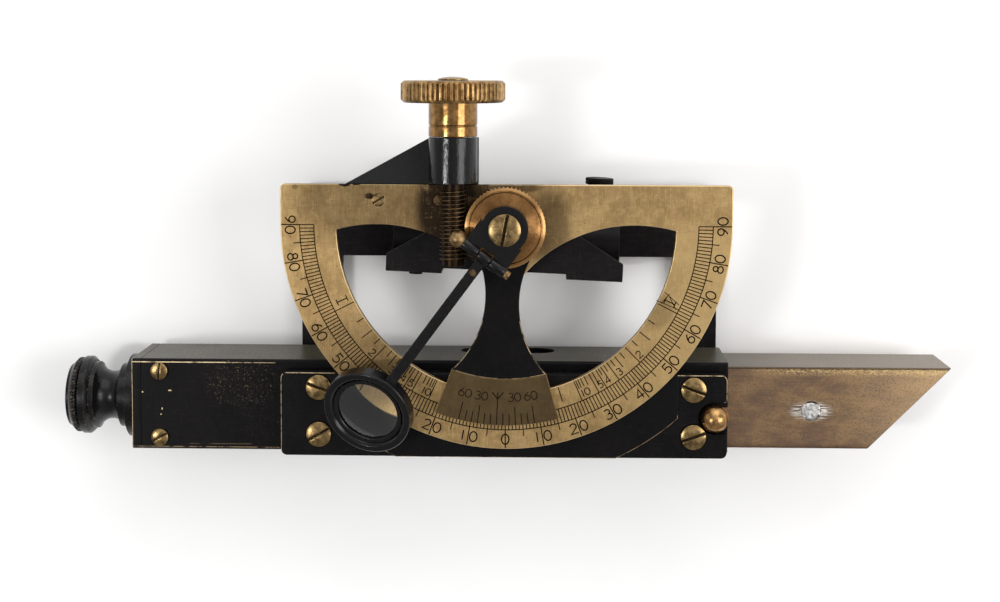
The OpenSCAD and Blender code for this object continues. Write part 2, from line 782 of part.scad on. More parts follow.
module bubble_cradle() color(black_bronze) difference() {
    union() {
        at_index(cheek_back) linear_extrude(cheek_thick) cheek_outline();
        at_index(rear_cheek_back) linear_extrude(cheek_thick) cheek_outline();
        for (sx = [-1, 1]) at_index(rear_cheek_back)
            translate([sx * (cradle_half + foot_inner) / 2, foot_thick / 2 - cradle_drop,
                (cheek_face - rear_cheek_back) / 2])
                cube([cradle_half - foot_inner, foot_thick, cheek_face - rear_cheek_back], center = true);
    }
    at_pivot(cheek_back - cut) cylinder(r = arbor_front, h = cheek_thick + 2 * cut);
    at_pivot(rear_cheek_back - cut) cylinder(r = trunnion_radius, h = cheek_thick + 2 * cut);
    for (side = [-1, 1]) at_adjuster(side, -cradle_drop - cut)
        cylinder(r = adjust_shank, h = foot_thick + 2 * cut);
}

module rear_trunnion() color(bright_brass) at_pivot(-frame_back)
    cylinder(r = trunnion_radius, h = frame_back + rear_cheek_face);

// along the bubble's axis, from its middle
module at_bubble(x) {
    at_index(case_depth) translate([x, -case_drop, 0]) rotate([0, 90, 0]) children();
}

// along an adjusting screw, upwards from the pivot's height
module at_adjuster(side, rise) {
    at_index(case_depth) translate([side * adjust_reach, rise, 0]) rotate([-90, 0, 0]) children();
}

module bubble_case() color(black_bronze) difference() {
    at_bubble(-case_half) cylinder(r = case_radius, h = 2 * case_half);
    at_bubble(-case_half - cut) cylinder(r = case_radius - case_wall, h = 2 * (case_half + cut));
    at_index(case_depth) translate([0, -case_drop, 0]) rotate([90, 0, 0])
        linear_extrude(2 * case_radius + cut, center = true)
            oval(case_window_length, case_window_width);
}

module bubble_vial() color(clear_glass) at_bubble(plug_spigot - case_half)
    cylinder(r = case_radius - case_wall - vial_gap, h = 2 * (case_half - plug_spigot));

module case_plugs() color(black_bronze) for (side = [-1, 1]) difference() {
    union() {
        at_bubble(side > 0 ? case_half : -case_half - case_plug_length)
            cylinder(r = case_radius, h = case_plug_length);
        at_bubble(side > 0 ? case_half - plug_spigot : -case_half)
            cylinder(r = case_radius - case_wall, h = plug_spigot);
        at_adjuster(side, -case_drop) cylinder(r = case_boss, h = adjust_rise + case_drop);
    }
    at_adjuster(side, -cradle_drop) cylinder(r = adjust_shank, h = cradle_drop + adjust_rise + cut);
}

module adjusting_screws() color(black_bronze) for (side = [-1, 1]) at_adjuster(side, adjust_rise)
    slotted_screw(adjust_head, adjust_head_thick, adjust_dome, adjust_shank,
        adjust_rise + cradle_drop + (side < 0 ? adjust_tip : 0), adjust_slot);

module centre_screw() color(bright_brass) at_pivot(swivel_face + face_clear / 2)
    slotted_screw(centre_head, centre_head_thick, centre_dome, centre_shank, centre_bite, centre_slot);

// one turn's cross-section of the thread, swept up the worm
function thread_ring(i) =
    let (a = i * 360 / thread_steps, first = 1 - floor(worm_drop / tooth_pitch),
        z = (i / thread_steps + first) * tooth_pitch,
        root_half = thread_thick / 2 + tooth_root * flank_slope,
        tip_half = thread_thick / 2 - tooth_rise * flank_slope)
    [[worm_core * cos(a), worm_core * sin(a), z - root_half],
        [worm_tip * cos(a), worm_tip * sin(a), z - tip_half],
        [worm_tip * cos(a), worm_tip * sin(a), z + tip_half],
        [worm_core * cos(a), worm_core * sin(a), z + root_half]];

module worm_thread(turns) {
    rings = turns * thread_steps;
    points = [for (i = [0:rings]) each thread_ring(i)];
    sides = [for (i = [0:rings - 1], k = [0:3], t = [0, 1])
        let (p = 4 * i + k, q = 4 * i + (k + 1) % 4)
        t == 0 ? [p, q, q + 4] : [p, q + 4, p + 4]];
    last = 4 * rings;
    ends = [[0, 2, 1], [0, 3, 2], [last, last + 1, last + 2], [last, last + 2, last + 3]];
    polyhedron(points, concat(sides, ends), convexity = 10);
}

module worm_shaft() color(bright_brass) {
    at_worm(pivot_height) worm_thread(worm_turns - 1);
    at_worm(worm_foot) cylinder(r = worm_core - thread_gap, h = worm_head - worm_foot);
    at_worm(worm_head) cylinder(r = shaft_radius, h = knob_head - knob_screw_bite - worm_head);
}

module worm_collar() color(bright_brass) at_worm(collar_foot) rotate_extrude() difference() {
    translate([shaft_radius, 0]) square([bearing_radius - shaft_radius, collar_length]);
    translate([bearing_radius, groove_rise]) circle(groove_radius);
}

module knob() color(bright_brass) difference() {
    at_worm(collar_head) fluted_disc(knob_radius, knob_thick, knob_flutes, knob_flute_depth, knob_chamfer);
    at_worm(collar_head - cut) cylinder(r = shaft_radius, h = knob_thick + 2 * cut);
}

module knob_screw() color(bright_brass) at_worm(knob_head)
    slotted_screw(knob_screw_head, knob_screw_thick, knob_screw_dome, knob_screw_shank, knob_screw_bite,
        knob_screw_slot);

// along the hinge pin, from the middle of the hinge
module at_hinge(x) {
    at_loupe(hinge_depth) translate([x, -hinge_reach, 0]) rotate([0, 90, 0]) children();
}

module loupe_swivel() color(black_bronze) difference() {
    union() {
        at_loupe(swivel_back) cylinder(r = swivel_radius, h = swivel_face - swivel_back);
        at_loupe(swivel_shelf) translate([-hinge_half, -hinge_reach, 0])
            cube([2 * hinge_half, hinge_reach - cut, swivel_plate]);
        at_hinge(-hinge_half) cylinder(r = knuckle_radius, h = 2 * hinge_half);
    }
    at_loupe(swivel_back - cut)
        cylinder(r = spigot_front + run_clear, h = swivel_face - swivel_back + 2 * cut);
    at_loupe(swivel_shelf - cut) translate([-knuckle_half - knuckle_gap, -notch_reach, 0])
        cube([2 * (knuckle_half + knuckle_gap), notch_reach - notch_back, 4 * knuckle_radius]);
    at_hinge(-hinge_half - cut) cylinder(r = pin_radius, h = 2 * (hinge_half + cut));
}

module hinge_pin() color(bright_brass) {
    at_hinge(-hinge_half) cylinder(r = pin_radius, h = 2 * hinge_half + pin_nut_length);
    intersection() {
        at_hinge(-hinge_half - pin_head_rise) sphere(pin_head);
        at_hinge(-hinge_half - 2 * pin_head - cut) cylinder(r = 2 * pin_head, h = 2 * pin_head + cut);
    }
    difference() {
        at_hinge(hinge_half) cylinder(r = pin_nut, h = pin_nut_length);
        at_hinge(hinge_half + pin_nut_length)
            cube([pin_slot, 4 * pin_nut, 2 * pin_slot_depth], center = true);
    }
}

module loupe_arm() color(black_bronze) difference() {
    union() {
        at_hinge(-knuckle_half) cylinder(r = knuckle_radius, h = 2 * knuckle_half);
        at_loupe(hinge_depth - loupe_arm_thick / 2) translate([-loupe_arm_width / 2, -lens_reach, 0])
            cube([loupe_arm_width, lens_reach - hinge_reach, loupe_arm_thick]);
    }
    at_hinge(-loupe_arm_width) cylinder(r = pin_radius + run_clear, h = 2 * loupe_arm_width);
    at_cell() cylinder(r = cell_radius, h = 2 * cell_radius, center = true);
    at_loupe(hinge_depth) translate([0, -rivet_reach, 0])
        cylinder(r = rivet_radius, h = 2 * cut, center = true);
}

module arm_rivet() color(bright_brass) at_loupe(hinge_depth - loupe_arm_thick / 2)
    translate([0, -rivet_reach, 0]) {
        cylinder(r = rivet_radius, h = loupe_arm_thick);
        translate([0, 0, loupe_arm_thick]) cylinder(r1 = rivet_head, r2 = rivet_top, h = rivet_rise);
    }

module loupe_cell() color(black_bronze) at_cell() translate([0, 0, -cell_thick / 2])
    rotate_extrude() polygon([
    [aperture_radius, 0], [cell_radius - cell_edge, 0], [cell_radius, cell_edge],
    [cell_radius, cell_thick - cell_edge], [cell_radius - cell_edge, cell_thick],
    [lens_radius + cell_mouth, cell_thick], [lens_radius + cell_play, cell_thick - cell_mouth],
    [lens_radius + cell_play, cell_lip], [aperture_radius, cell_lip]]);

module loupe_lens() color(clear_glass) at_cell() translate([0, 0, lens_seat])
    rotate_extrude() intersection() {
        translate([0, lens_edge + lens_sag - lens_curve]) circle(lens_curve, $fn = 360);
        translate([0, lens_back_curve - lens_back_sag]) circle(lens_back_curve, $fn = 360);
        translate([0, -cell_thick]) square([lens_radius, 2 * cell_thick]);
    }

module lens_ring() color(black_bronze) at_cell() translate([0, 0, lens_seat + lens_edge + ring_gap])
    rotate_extrude() polygon([[aperture_radius + ring_gap, ring_rise], [lens_radius + ring_gap, 0],
        [lens_radius + ring_gap, ring_thick], [aperture_radius + ring_gap + ring_bevel, ring_thick]]);

module draw_tube() color(aged_brass) difference() {
    square_bar(draw_inner, draw_tip, draw_size, draw_edge);
    square_bar(draw_inner - cut, draw_tip + cut, draw_bore, draw_bore_edge);
    translate([draw_tip, 0, middle + draw_face]) rotate([0, 45, 0])
        translate([0, -tube_size, -2 * tube_size]) cube([2 * tube_size, 2 * tube_size, 4 * tube_size]);
    front(draw_face - draw_wall - cut) linear_extrude(draw_wall + 2 * cut) {
        translate([stud_reach, stud_height]) circle(shank_radius);
        translate([fill_reach, fill_height]) circle(fill_radius);
    }
}

module ball_stud() color(bright_brass) front(draw_face - draw_wall) translate([stud_reach, stud_height]) {
    ball_rise = plate_face - draw_face + draw_wall;
    cylinder(r = shank_radius, h = ball_rise);
    translate([0, 0, draw_wall + tube_wall + slide_clear + stud_collar_gap])
        cylinder(r = stud_collar, h = stud_collar_thick);
    translate([0, 0, ball_rise]) sphere(ball_radius);
}

module hole_fill() color(steel) front(draw_face - draw_wall) translate([fill_reach, fill_height])
    cylinder(r = fill_radius, h = draw_wall);

// the frame that stretches the sighting wire across the draw tube, behind its slanted end
module at_wire(back) {
    translate([draw_tip - draw_size - back, 0, middle]) children();
}

module wire_frame() color(bright_brass) difference() {
    square_bar(draw_tip - draw_size - wire_back - wire_frame_thick, draw_tip - draw_size - wire_back,
        draw_bore, draw_bore_edge);
    at_wire(wire_back + wire_frame_thick + cut) rotate([0, 90, 0])
        cylinder(r = draw_bore / 2 - wire_frame_rim, h = wire_frame_thick + 2 * cut);
}

module cross_wire() color(steel) at_wire(wire_back - wire_radius) rotate([90, 0, 0])
    cylinder(r = wire_radius, h = draw_bore - wire_frame_rim, center = true);

module eyepiece() color(black_bronze) difference() {
    union() {
        at_eye(-spigot_length) cylinder(r = spigot_radius, h = spigot_length + neck_start);
        at_eye(eye_gap) cylinder(r = eye_base_radius, h = eye_base_length);
        at_eye(eye_gap) cylinder(r = eye_flange_radius, h = eye_base_length + eye_flange_length);
        at_eye(neck_start) rotate_extrude() difference() {
            square([eye_collar_radius, rim_start - neck_start]);
            translate([eye_neck_radius + cove_radius, cove_middle]) circle(cove_radius);
        }
        at_eye(rim_start) rotate_extrude() polygon([[0, 0], [eye_rim_radius - eye_chamfer, 0],
            [eye_rim_radius, eye_chamfer], [eye_rim_radius, eye_rim_length], [0, eye_rim_length]]);
        at_eye(flute_start) fluted_disc(eye_rim_radius - flute_step, eye_flute_length, eye_flutes,
            eye_flute_depth, eye_chamfer);
        at_eye(lip_start) cylinder(r = lip_radius, h = eye_length - lip_start);
    }
    at_eye(-spigot_length - cut) cylinder(r = eye_lens_radius, h = spigot_length + rim_start + cut);
    at_eye(0) cylinder(r = peep_radius, h = eye_length + cut);
    at_eye(eye_length - cup_depth) cylinder(r1 = peep_radius, r2 = cup_radius, h = cup_depth);
}

module eye_lens() color(clear_glass) at_eye(eye_lens_inset - spigot_length)
    cylinder(r = eye_lens_radius, h = eye_lens_thick);

sight_tube();
eye_end();
end_screws();
side_plate();
plate_screws();
limb();
limb_bush();
rear_frame();
frame_screws();
worm_bracket();
bracket_screw();
bracket_pin();
mirror();
mirror_block();
index_arbor();
worm_wheel();
vernier_arm();
vernier_plate();
bubble_cradle();
bubble_case();
bubble_vial();
case_plugs();
adjusting_screws();
rear_trunnion();
centre_screw();
worm_shaft();
worm_collar();
knob();
knob_screw();
loupe_swivel();
hinge_pin();
loupe_arm();
loupe_cell();
loupe_lens();
lens_ring();
arm_rivet();
draw_tube();
ball_stud();
hole_fill();
wire_frame();
cross_wire();
eyepiece();
eye_lens();
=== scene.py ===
import bpy
import bmesh
import json
from math import atan, cos, degrees, pi, radians, sin, sqrt
from mathutils import Matrix, Vector, noise
from mathutils.bvhtree import BVHTree


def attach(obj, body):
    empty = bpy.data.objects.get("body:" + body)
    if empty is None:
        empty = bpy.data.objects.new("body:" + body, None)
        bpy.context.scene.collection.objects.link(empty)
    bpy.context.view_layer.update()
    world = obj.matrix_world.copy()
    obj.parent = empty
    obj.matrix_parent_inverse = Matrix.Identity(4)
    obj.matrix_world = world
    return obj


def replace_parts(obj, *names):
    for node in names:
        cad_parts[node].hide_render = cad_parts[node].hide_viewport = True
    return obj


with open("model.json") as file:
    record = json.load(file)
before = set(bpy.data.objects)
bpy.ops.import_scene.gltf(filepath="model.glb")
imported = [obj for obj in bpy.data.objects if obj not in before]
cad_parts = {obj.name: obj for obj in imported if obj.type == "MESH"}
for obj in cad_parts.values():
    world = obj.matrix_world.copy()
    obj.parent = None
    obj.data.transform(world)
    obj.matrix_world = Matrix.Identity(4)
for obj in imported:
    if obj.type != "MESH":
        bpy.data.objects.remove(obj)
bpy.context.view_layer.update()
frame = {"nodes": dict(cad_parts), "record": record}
cadNodes = frame["nodes"]
cadBodies = frame["record"]["behaviour"]["bodies"]
bodyOf = {node: body for body, members in cadBodies.items() for node in members}
mm = 0.001
print("frame loaded:", len(cadNodes), "nodes")


# small helpers for shader trees
def paint(red, green, blue):  # a colour as seen on screen, 0 to 255, made linear
    return tuple((c / 255 / 12.92 if c < 11 else ((c / 255 + 0.055) / 1.055) ** 2.4) for c in (red, green, blue)) + (1,)


def feed(tree, socket, value):
    if isinstance(value, bpy.types.NodeSocket):
        tree.links.new(value, socket)
    elif value is not None:
        socket.default_value = value


def calc(tree, operation, *values):  # a Math node, in shader and geometry trees
    node = tree.nodes.new("ShaderNodeMath")
    node.operation = operation
    for socket, value in zip(node.inputs, values):
        feed(tree, socket, value)
    return node.outputs[0]


def times(tree, first, second):
    return calc(tree, "MULTIPLY", first, second)


def blend(tree, amount, first, second):
    node = tree.nodes.new("ShaderNodeMix")
    node.data_type = "RGBA"
    for index, value in ((0, amount), (6, first), (7, second)):
        feed(tree, node.inputs[index], value)
    return node.outputs[2]


def remap(tree, value, low, high, toLow=0.0, toHigh=1.0):
    node = tree.nodes.new("ShaderNodeMapRange")
    node.interpolation_type = "SMOOTHSTEP"
    for index, number in enumerate((value, low, high, toLow, toHigh)):
        feed(tree, node.inputs[index], number)
    return node.outputs[0]


def place(tree, centre=(0, 0, 0), stretch=(1, 1, 1)):  # object coordinates in millimetres about a centre
    spot = tree.nodes.new("ShaderNodeTexCoord").outputs["Object"]
    shift = tree.nodes.new("ShaderNodeMapping")
    shift.inputs["Scale"].default_value = (1000, 1000, 1000)
    shift.inputs["Location"].default_value = [-c for c in centre]
    tree.links.new(spot, shift.inputs["Vector"])
    if stretch == (1, 1, 1):
        return shift.outputs[0]
    pull = tree.nodes.new("ShaderNodeMapping")
    pull.inputs["Scale"].default_value = stretch
    tree.links.new(shift.outputs[0], pull.inputs["Vector"])
    return pull.outputs[0]


def grain(tree, where, scale, detail=3.0, rough=0.55):
    node = tree.nodes.new("ShaderNodeTexNoise")
    feed(tree, node.inputs["Vector"], where)
    for name, value in (("Scale", scale), ("Detail", detail), ("Roughness", rough)):
        node.inputs[name].default_value = value
    return node.outputs[0]


def axisOf(tree, where, axis):  # one coordinate of a point
    node = tree.nodes.new("ShaderNodeSeparateXYZ")
    feed(tree, node.inputs[0], where)
    return node.outputs["XYZ".index(axis)]


def reachFrom(tree, where, axes):  # distance from a centre, over the named axes
    node = tree.nodes.new("ShaderNodeVectorMath")
    node.operation = "MULTIPLY"
    feed(tree, node.inputs[0], where)
    node.inputs[1].default_value = [1.0 if a in axes else 0.0 for a in "XYZ"]
    length = tree.nodes.new("ShaderNodeVectorMath")
    length.operation = "LENGTH"
    tree.links.new(node.outputs[0], length.inputs[0])
    return length.outputs["Value"]


def alongOnly(tree, value):  # a vector with one number in it, for patterns that run one way
    node = tree.nodes.new("ShaderNodeCombineXYZ")
    feed(tree, node.inputs[0], value)
    return node.outputs[0]


def bumpOf(tree, height, strength, depth=0.02):
    node = tree.nodes.new("ShaderNodeBump")
    node.inputs["Strength"].default_value = strength
    node.inputs["Distance"].default_value = depth * mm
    feed(tree, node.inputs["Height"], height)
    return node.outputs[0]


def marked(tree, name):  # a face mark: rim is 1 on softened edges, recess is the share of view that is blocked
    node = tree.nodes.new("ShaderNodeAttribute")
    node.attribute_name = name
    return node.outputs["Fac"]


def insideBox(tree, spot, limits):  # 1 inside the limits given for some axes
    mask = 1.0
    for axis, (low, high) in limits.items():
        value = axisOf(tree, spot, axis)
        for operation, limit in (("GREATER_THAN", low), ("LESS_THAN", high)):
            mask = times(tree, mask, calc(tree, operation, value, limit))
    return mask


def nearSpot(tree, centre, reach):  # 1 about a place, falling off to 0 at the reach
    across = place(tree, centre, tuple(1 / r for r in reach))
    return remap(tree, reachFrom(tree, across, "XYZ"), 1.0, 0.5)


def newMaterial(name, roughness=0.5, metallic=0.0, specular=0.5):
    material = bpy.data.materials.new(name)
    material.use_nodes = True
    tree = material.node_tree
    tree.nodes.clear()
    out = tree.nodes.new("ShaderNodeOutputMaterial")
    shader = tree.nodes.new("ShaderNodeBsdfPrincipled")
    tree.links.new(shader.outputs[0], out.inputs[0])
    shader.inputs["Roughness"].default_value = roughness
    shader.inputs["Metallic"].default_value = metallic
    shader.inputs["Specular IOR Level"].default_value = specular
    return material, tree, shader


def dress(tree, shader, colour, rough=None, normal=None):
    for name, value in (("Base Color", colour), ("Roughness", rough), ("Normal", normal)):
        feed(tree, shader.inputs[name], value)


# finishes
pivot = Vector((0, 0, 39.9))  # centre of the limb's half circle, mm
wormX, wormY = -8.7, -17.24
plugX, plugZ = 52.6, 7.44


def blackBronze(name, tone=1.0, gloss=0.42, specular=0.1, rub=0.25, lines=(), stripes=(), patches=(), nicks=(), tube=None,
                dusty=None):
    material, tree, shader = newMaterial(name, specular=specular)
    spot = place(tree)
    broad = grain(tree, spot, 0.16, 4)
    fine = grain(tree, spot, 2.2, 4, 0.65)
    dust = grain(tree, place(tree, stretch=(0.7, 1, 1.2)), 8.0, 3, 0.7)
    across = grain(tree, place(tree, stretch=(0.5, 7, 7)), 1.0, 3, 0.6)
    upright = grain(tree, place(tree, stretch=(7, 7, 0.5)), 1.0, 3, 0.6)
    rim = marked(tree, "rim")
    dashes = remap(tree, grain(tree, spot, 0.7, 4, 0.6), 0.34, 0.55, 0.3, 1.0)
    wear = times(tree, times(tree, rim, remap(tree, fine, 0.45, 0.7)), rub)
    for limits, strength in lines:  # sharp edges rubbed bright
        edge = times(tree, times(tree, rim, insideBox(tree, spot, limits)), strength)
        wear = calc(tree, "MAXIMUM", wear, times(tree, edge, dashes))
    for limits, strength in stripes:  # rounded edges rubbed bright
        edge = times(tree, insideBox(tree, spot, limits), strength)
        wear = calc(tree, "MAXIMUM", wear, times(tree, edge, dashes))
    for centre, reach, strength in patches:  # bronzing worn through in specks
        speck = times(tree, nearSpot(tree, centre, reach), remap(tree, dust, 0.56, 0.74))
        speck = times(tree, speck, remap(tree, fine, 0.42, 0.62, 0.15, 1.0))
        wear = calc(tree, "MAXIMUM", wear, times(tree, speck, strength))
    for centre, reach, strength in nicks:  # small chips down to the metal
        chip = times(tree, nearSpot(tree, centre, reach), remap(tree, dust, 0.4, 0.56, 0.3, 1.0))
        wear = calc(tree, "MAXIMUM", wear, times(tree, chip, strength))
    low, high, brush = (paint(*(c * tone for c in colour)) for colour in ((9, 8, 10), (15, 13, 14), (34, 30, 29)))
    dark = blend(tree, remap(tree, broad, 0.3, 0.7), low, high)
    brushed = calc(tree, "MAXIMUM", across, upright)
    dark = blend(tree, remap(tree, brushed, 0.55, 0.78, 0, 0.6), dark, brush)
    dark = blend(tree, remap(tree, dust, 0.7, 0.78, 0, 0.35), dark, paint(92, 82, 70))
    if dusty:  # a top face painted paler: a painted reflection of the light above
        above, colour = dusty
        cover = remap(tree, axisOf(tree, spot, "Z"), above - 0.03, above)
        dark = blend(tree, times(tree, cover, remap(tree, broad, 0.2, 0.8, 0.6, 1.0)), dark, colour)
    bare = blend(tree, wear, paint(104, 74, 46), paint(244, 224, 180))
    feed(tree, shader.inputs["Metallic"], times(tree, wear, 0.6))
    dull = remap(tree, fine, 0.25, 0.75, gloss - 0.07, gloss + 0.1)
    height = calc(tree, "ADD", times(tree, fine, 0.8), times(tree, brushed, 0.5))
    if tube:  # the polished bearing tube of the bracket
        centre, radius, foot = tube
        polished = calc(tree, "LESS_THAN", reachFrom(tree, place(tree, centre), "XY"), radius)
        polished = times(tree, polished, calc(tree, "GREATER_THAN", axisOf(tree, spot, "Z"), foot))
        dull = times(tree, dull, calc(tree, "SUBTRACT", 1.0, times(tree, polished, 0.82)))
        waves = grain(tree, place(tree, stretch=(1.2, 1.2, 0.5)), 1.1, 4, 0.6)
        height = calc(tree, "ADD", height, times(tree, times(tree, waves, polished), 14.0))
    dress(tree, shader, blend(tree, remap(tree, wear, 0.04, 0.4), dark, bare), dull, bumpOf(tree, height, 0.18, 0.03))
    return material


def sheetBrass(name, low, mid, high, edge, stainsAndShade=(), dull=0.4, blush=0.0):  # flat lacquered brass, grained both ways
    material, tree, shader = newMaterial(name, metallic=1.0)
    spot = place(tree)
    broad = grain(tree, spot, 0.2, 4, 0.6)
    cloud = grain(tree, place(tree, (31, 7, 12)), 0.75, 4, 0.65)
    fine = grain(tree, spot, 4.5, 3, 0.65)
    across = grain(tree, place(tree, stretch=(0.5, 1, 9)), 1.0, 3, 0.6)
    upright = grain(tree, place(tree, stretch=(9, 1, 0.5)), 1.0, 3, 0.6)
    colour = blend(tree, remap(tree, broad, 0.34, 0.66, 0.25, 1.0), low, mid)
    colour = blend(tree, remap(tree, cloud, 0.42, 0.7, 0, 0.5), colour, high)
    blotch = grain(tree, place(tree, (8, 2, 5)), 1.3, 5, 0.7)
    colour = blend(tree, remap(tree, blotch, 0.5, 0.68, 0, 0.4), colour, low)
    scratch = calc(tree, "MAXIMUM", across, upright)
    colour = blend(tree, remap(tree, scratch, 0.5, 0.75, 0, 0.5), colour, low)
    colour = blend(tree, remap(tree, upright, 0.46, 0.28, 0, 0.6), colour, high)
    colour = blend(tree, remap(tree, fine, 0.5, 0.75, 0, 0.5), colour, low)
    pink = remap(tree, grain(tree, place(tree, (3, 11, 2)), 0.33, 3), 0.52, 0.7, 0, blush)
    colour = blend(tree, pink, colour, paint(176, 132, 104))
    pits = remap(tree, grain(tree, place(tree, (5, 0, 9)), 2.4, 3, 0.7), 0.65, 0.71)
    colour = blend(tree, times(tree, pits, 0.7), colour, paint(62, 48, 33))
    rough = remap(tree, fine, 0.2, 0.8, dull - 0.06, dull + 0.1)
    # bevelled edges painted lighter: a painted highlight along the edges
    colour = blend(tree, times(tree, marked(tree, "rim"), 0.6), colour, edge)
    if stainsAndShade:  # oil and dirt about the worm, painted shade below the loupe, and the lower right side paler
        shade = 0.0
        lower = remap(tree, axisOf(tree, spot, "Z"), 44, 34)
        lowerRightPaler = times(tree, remap(tree, axisOf(tree, spot, "X"), 12, 34, 0, 0.5), lower)
        colour = blend(tree, lowerRightPaler, colour, high)
        for centre, reach, strength in stainsAndShade:
            cover = times(tree, nearSpot(tree, centre, reach), strength)
            shade = calc(tree, "MAXIMUM", shade, cover)
        streaks = calc(tree, "ADD", times(tree, cloud, 0.5), times(tree, scratch, 0.5))
        shade = times(tree, shade, remap(tree, streaks, 0.36, 0.52, 0.55, 1.0))
        colour = blend(tree, shade, colour, paint(33, 26, 22))
        rough = calc(tree, "ADD", rough, times(tree, shade, 0.1))
    height = calc(tree, "ADD", calc(tree, "ADD", across, upright), times(tree, fine, 0.6))
    dress(tree, shader, colour, rough, bumpOf(tree, height, 0.3))
    return material


def drawnBrass(name):  # tarnished tube, drawn lengthways, with smeared solder about its filled hole
    material, tree, shader = newMaterial(name, metallic=1.0)
    spot = place(tree)
    streak = grain(tree, place(tree, stretch=(0.16, 5, 5)), 1.0, 5, 0.7)
    hair = grain(tree, place(tree, stretch=(0.5, 14, 14)), 1.0, 3, 0.6)
    wide = grain(tree, place(tree, (9, 3, 4), (0.5, 1, 1)), 0.3, 5, 0.65)
    fine = grain(tree, spot, 4.0, 4, 0.7)
    height = axisOf(tree, spot, "Z")
    along = axisOf(tree, spot, "X")
    colour = blend(tree, remap(tree, wide, 0.36, 0.66), paint(122, 100, 84), paint(156, 127, 95))
    colour = blend(tree, remap(tree, streak, 0.5, 0.72, 0, 0.4), colour, paint(182, 149, 108))
    colour = blend(tree, remap(tree, streak, 0.46, 0.3, 0, 0.35), colour, paint(98, 80, 72))
    colour = blend(tree, remap(tree, hair, 0.5, 0.72, 0, 0.5), colour, paint(98, 80, 64))
    colour = blend(tree, remap(tree, along, 54, 76, 0, 0.55), colour, paint(212, 180, 138))
    colour = blend(tree, remap(tree, fine, 0.5, 0.66, 0, 0.6), colour, paint(84, 68, 59))
    pits = remap(tree, grain(tree, place(tree, (2, 5, 1), (0.7, 1, 1.3)), 3.4, 4, 0.75), 0.56, 0.68)
    colour = blend(tree, times(tree, pits, 0.38), colour, paint(62, 47, 40))
    band = times(tree, remap(tree, height, 13.2, 14.4), remap(tree, along, 38, 52))
    broken = grain(tree, place(tree, stretch=(1.6, 1, 3.4)), 1.9, 6, 0.75)
    band = times(tree, band, remap(tree, broken, 0.46, 0.6))
    colour = blend(tree, times(tree, band, 0.8), colour, paint(246, 214, 150))
    colour = blend(tree, remap(tree, height, 2.2, 1.0, 0, 0.5), colour, paint(82, 64, 52))
    smear = grain(tree, place(tree, stretch=(0.45, 1, 6.5)), 1.0, 3, 0.6)
    away = reachFrom(tree, place(tree, (plugX, 0, plugZ), (0.46, 0, 1)), "XZ")
    front = calc(tree, "LESS_THAN", axisOf(tree, spot, "Y"), -6.7)
    silver = times(tree, remap(tree, away, 2.0, 1.1), remap(tree, smear, 0.46, 0.58))
    colour = blend(tree, times(tree, silver, front), colour, paint(240, 236, 230))
    edges = times(tree, marked(tree, "rim"), remap(tree, away, 1.2, 1.8))
    colour = blend(tree, times(tree, edges, 0.92), colour, paint(58, 46, 38))
    crease = times(tree, remap(tree, height, 14.6, 14.74, 0, 0.85), front)
    colour = blend(tree, crease, colour, paint(52, 41, 34))
    # the top face painted grey: a painted reflection of the light above
    top = calc(tree, "GREATER_THAN", height, 14.93)
    colour = blend(tree, times(tree, top, 0.85), colour, paint(96, 90, 81))
    lift = calc(tree, "ADD", calc(tree, "ADD", streak, hair), times(tree, fine, 0.6))
    dress(tree, shader, colour, remap(tree, fine, 0.2, 0.8, 0.3, 0.46), bumpOf(tree, lift, 0.3, 0.025))
    return material


def turnedBrass(name, dark, light, centre=None, axis="Y", ring=6.0, dull=0.24, cut=0.35, tarnish=0.4, rimHighlight=None, circles=0.0,
                hidden=None):
    material, tree, shader = newMaterial(name, metallic=1.0)
    spot = place(tree, centre or (0, 0, 0))
    cloud = grain(tree, spot, 0.9, 4, 0.6)
    fine = grain(tree, spot, 5.0, 3, 0.6)
    colour = blend(tree, remap(tree, cloud, 0.36, 0.66), dark, light)
    if centre:  # lathe marks about the piece's own axis
        outward = reachFrom(tree, spot, [a for a in "XYZ" if a != axis])
        marks = grain(tree, alongOnly(tree, calc(tree, "ADD", outward, axisOf(tree, spot, axis))), ring, 4, 0.7)
        colour = blend(tree, remap(tree, marks, 0.55, 0.75, 0, 0.35), colour, dark)
    else:
        marks = fine
    stain = times(tree, remap(tree, fine, 0.5, 0.7), remap(tree, cloud, 0.56, 0.36, 0, tarnish))
    colour = blend(tree, stain, colour, paint(62, 44, 29))
    # painted shade and grime: faces darkened by the share of their view that nearby metal blocks
    colour = blend(tree, remap(tree, marked(tree, "recess"), 0.25, 0.6, 0, 0.93), colour, paint(26, 19, 14))
    # bevelled edges painted lighter: a painted highlight
    colour = blend(tree, times(tree, marked(tree, "rim"), 0.4), colour, rimHighlight or light)
    if hidden:  # painted shade where other pieces close over it
        middle, reach = hidden
        closed = calc(tree, "LESS_THAN", reachFrom(tree, place(tree, middle), "XYZ"), reach)
        colour = blend(tree, closed, colour, paint(20, 16, 13))
    dress(tree, shader, colour, remap(tree, cloud, 0.3, 0.7, dull - 0.05, dull + 0.1), bumpOf(tree, marks, cut))
    if circles:  # highlights spread across the lathe marks
        around = tree.nodes.new("ShaderNodeTangent")
        around.direction_type, around.axis = "RADIAL", axis
        tree.links.new(around.outputs[0], shader.inputs["Tangent"])
        shader.inputs["Anisotropic"].default_value = circles
        shader.inputs["Anisotropic Rotation"].default_value = 0.25
    return material


def clearGlass(name, tint, index):
    material, tree, shader = newMaterial(name, roughness=0.0)
    shader.inputs["Transmission Weight"].default_value = 1.0
    shader.inputs["IOR"].default_value = index
    dust = grain(tree, place(tree), 3.0, 4, 0.7)
    dress(tree, shader, blend(tree, remap(tree, dust, 0.5, 0.75, 0, 0.1), tint, paint(216, 212, 200)))
    return material


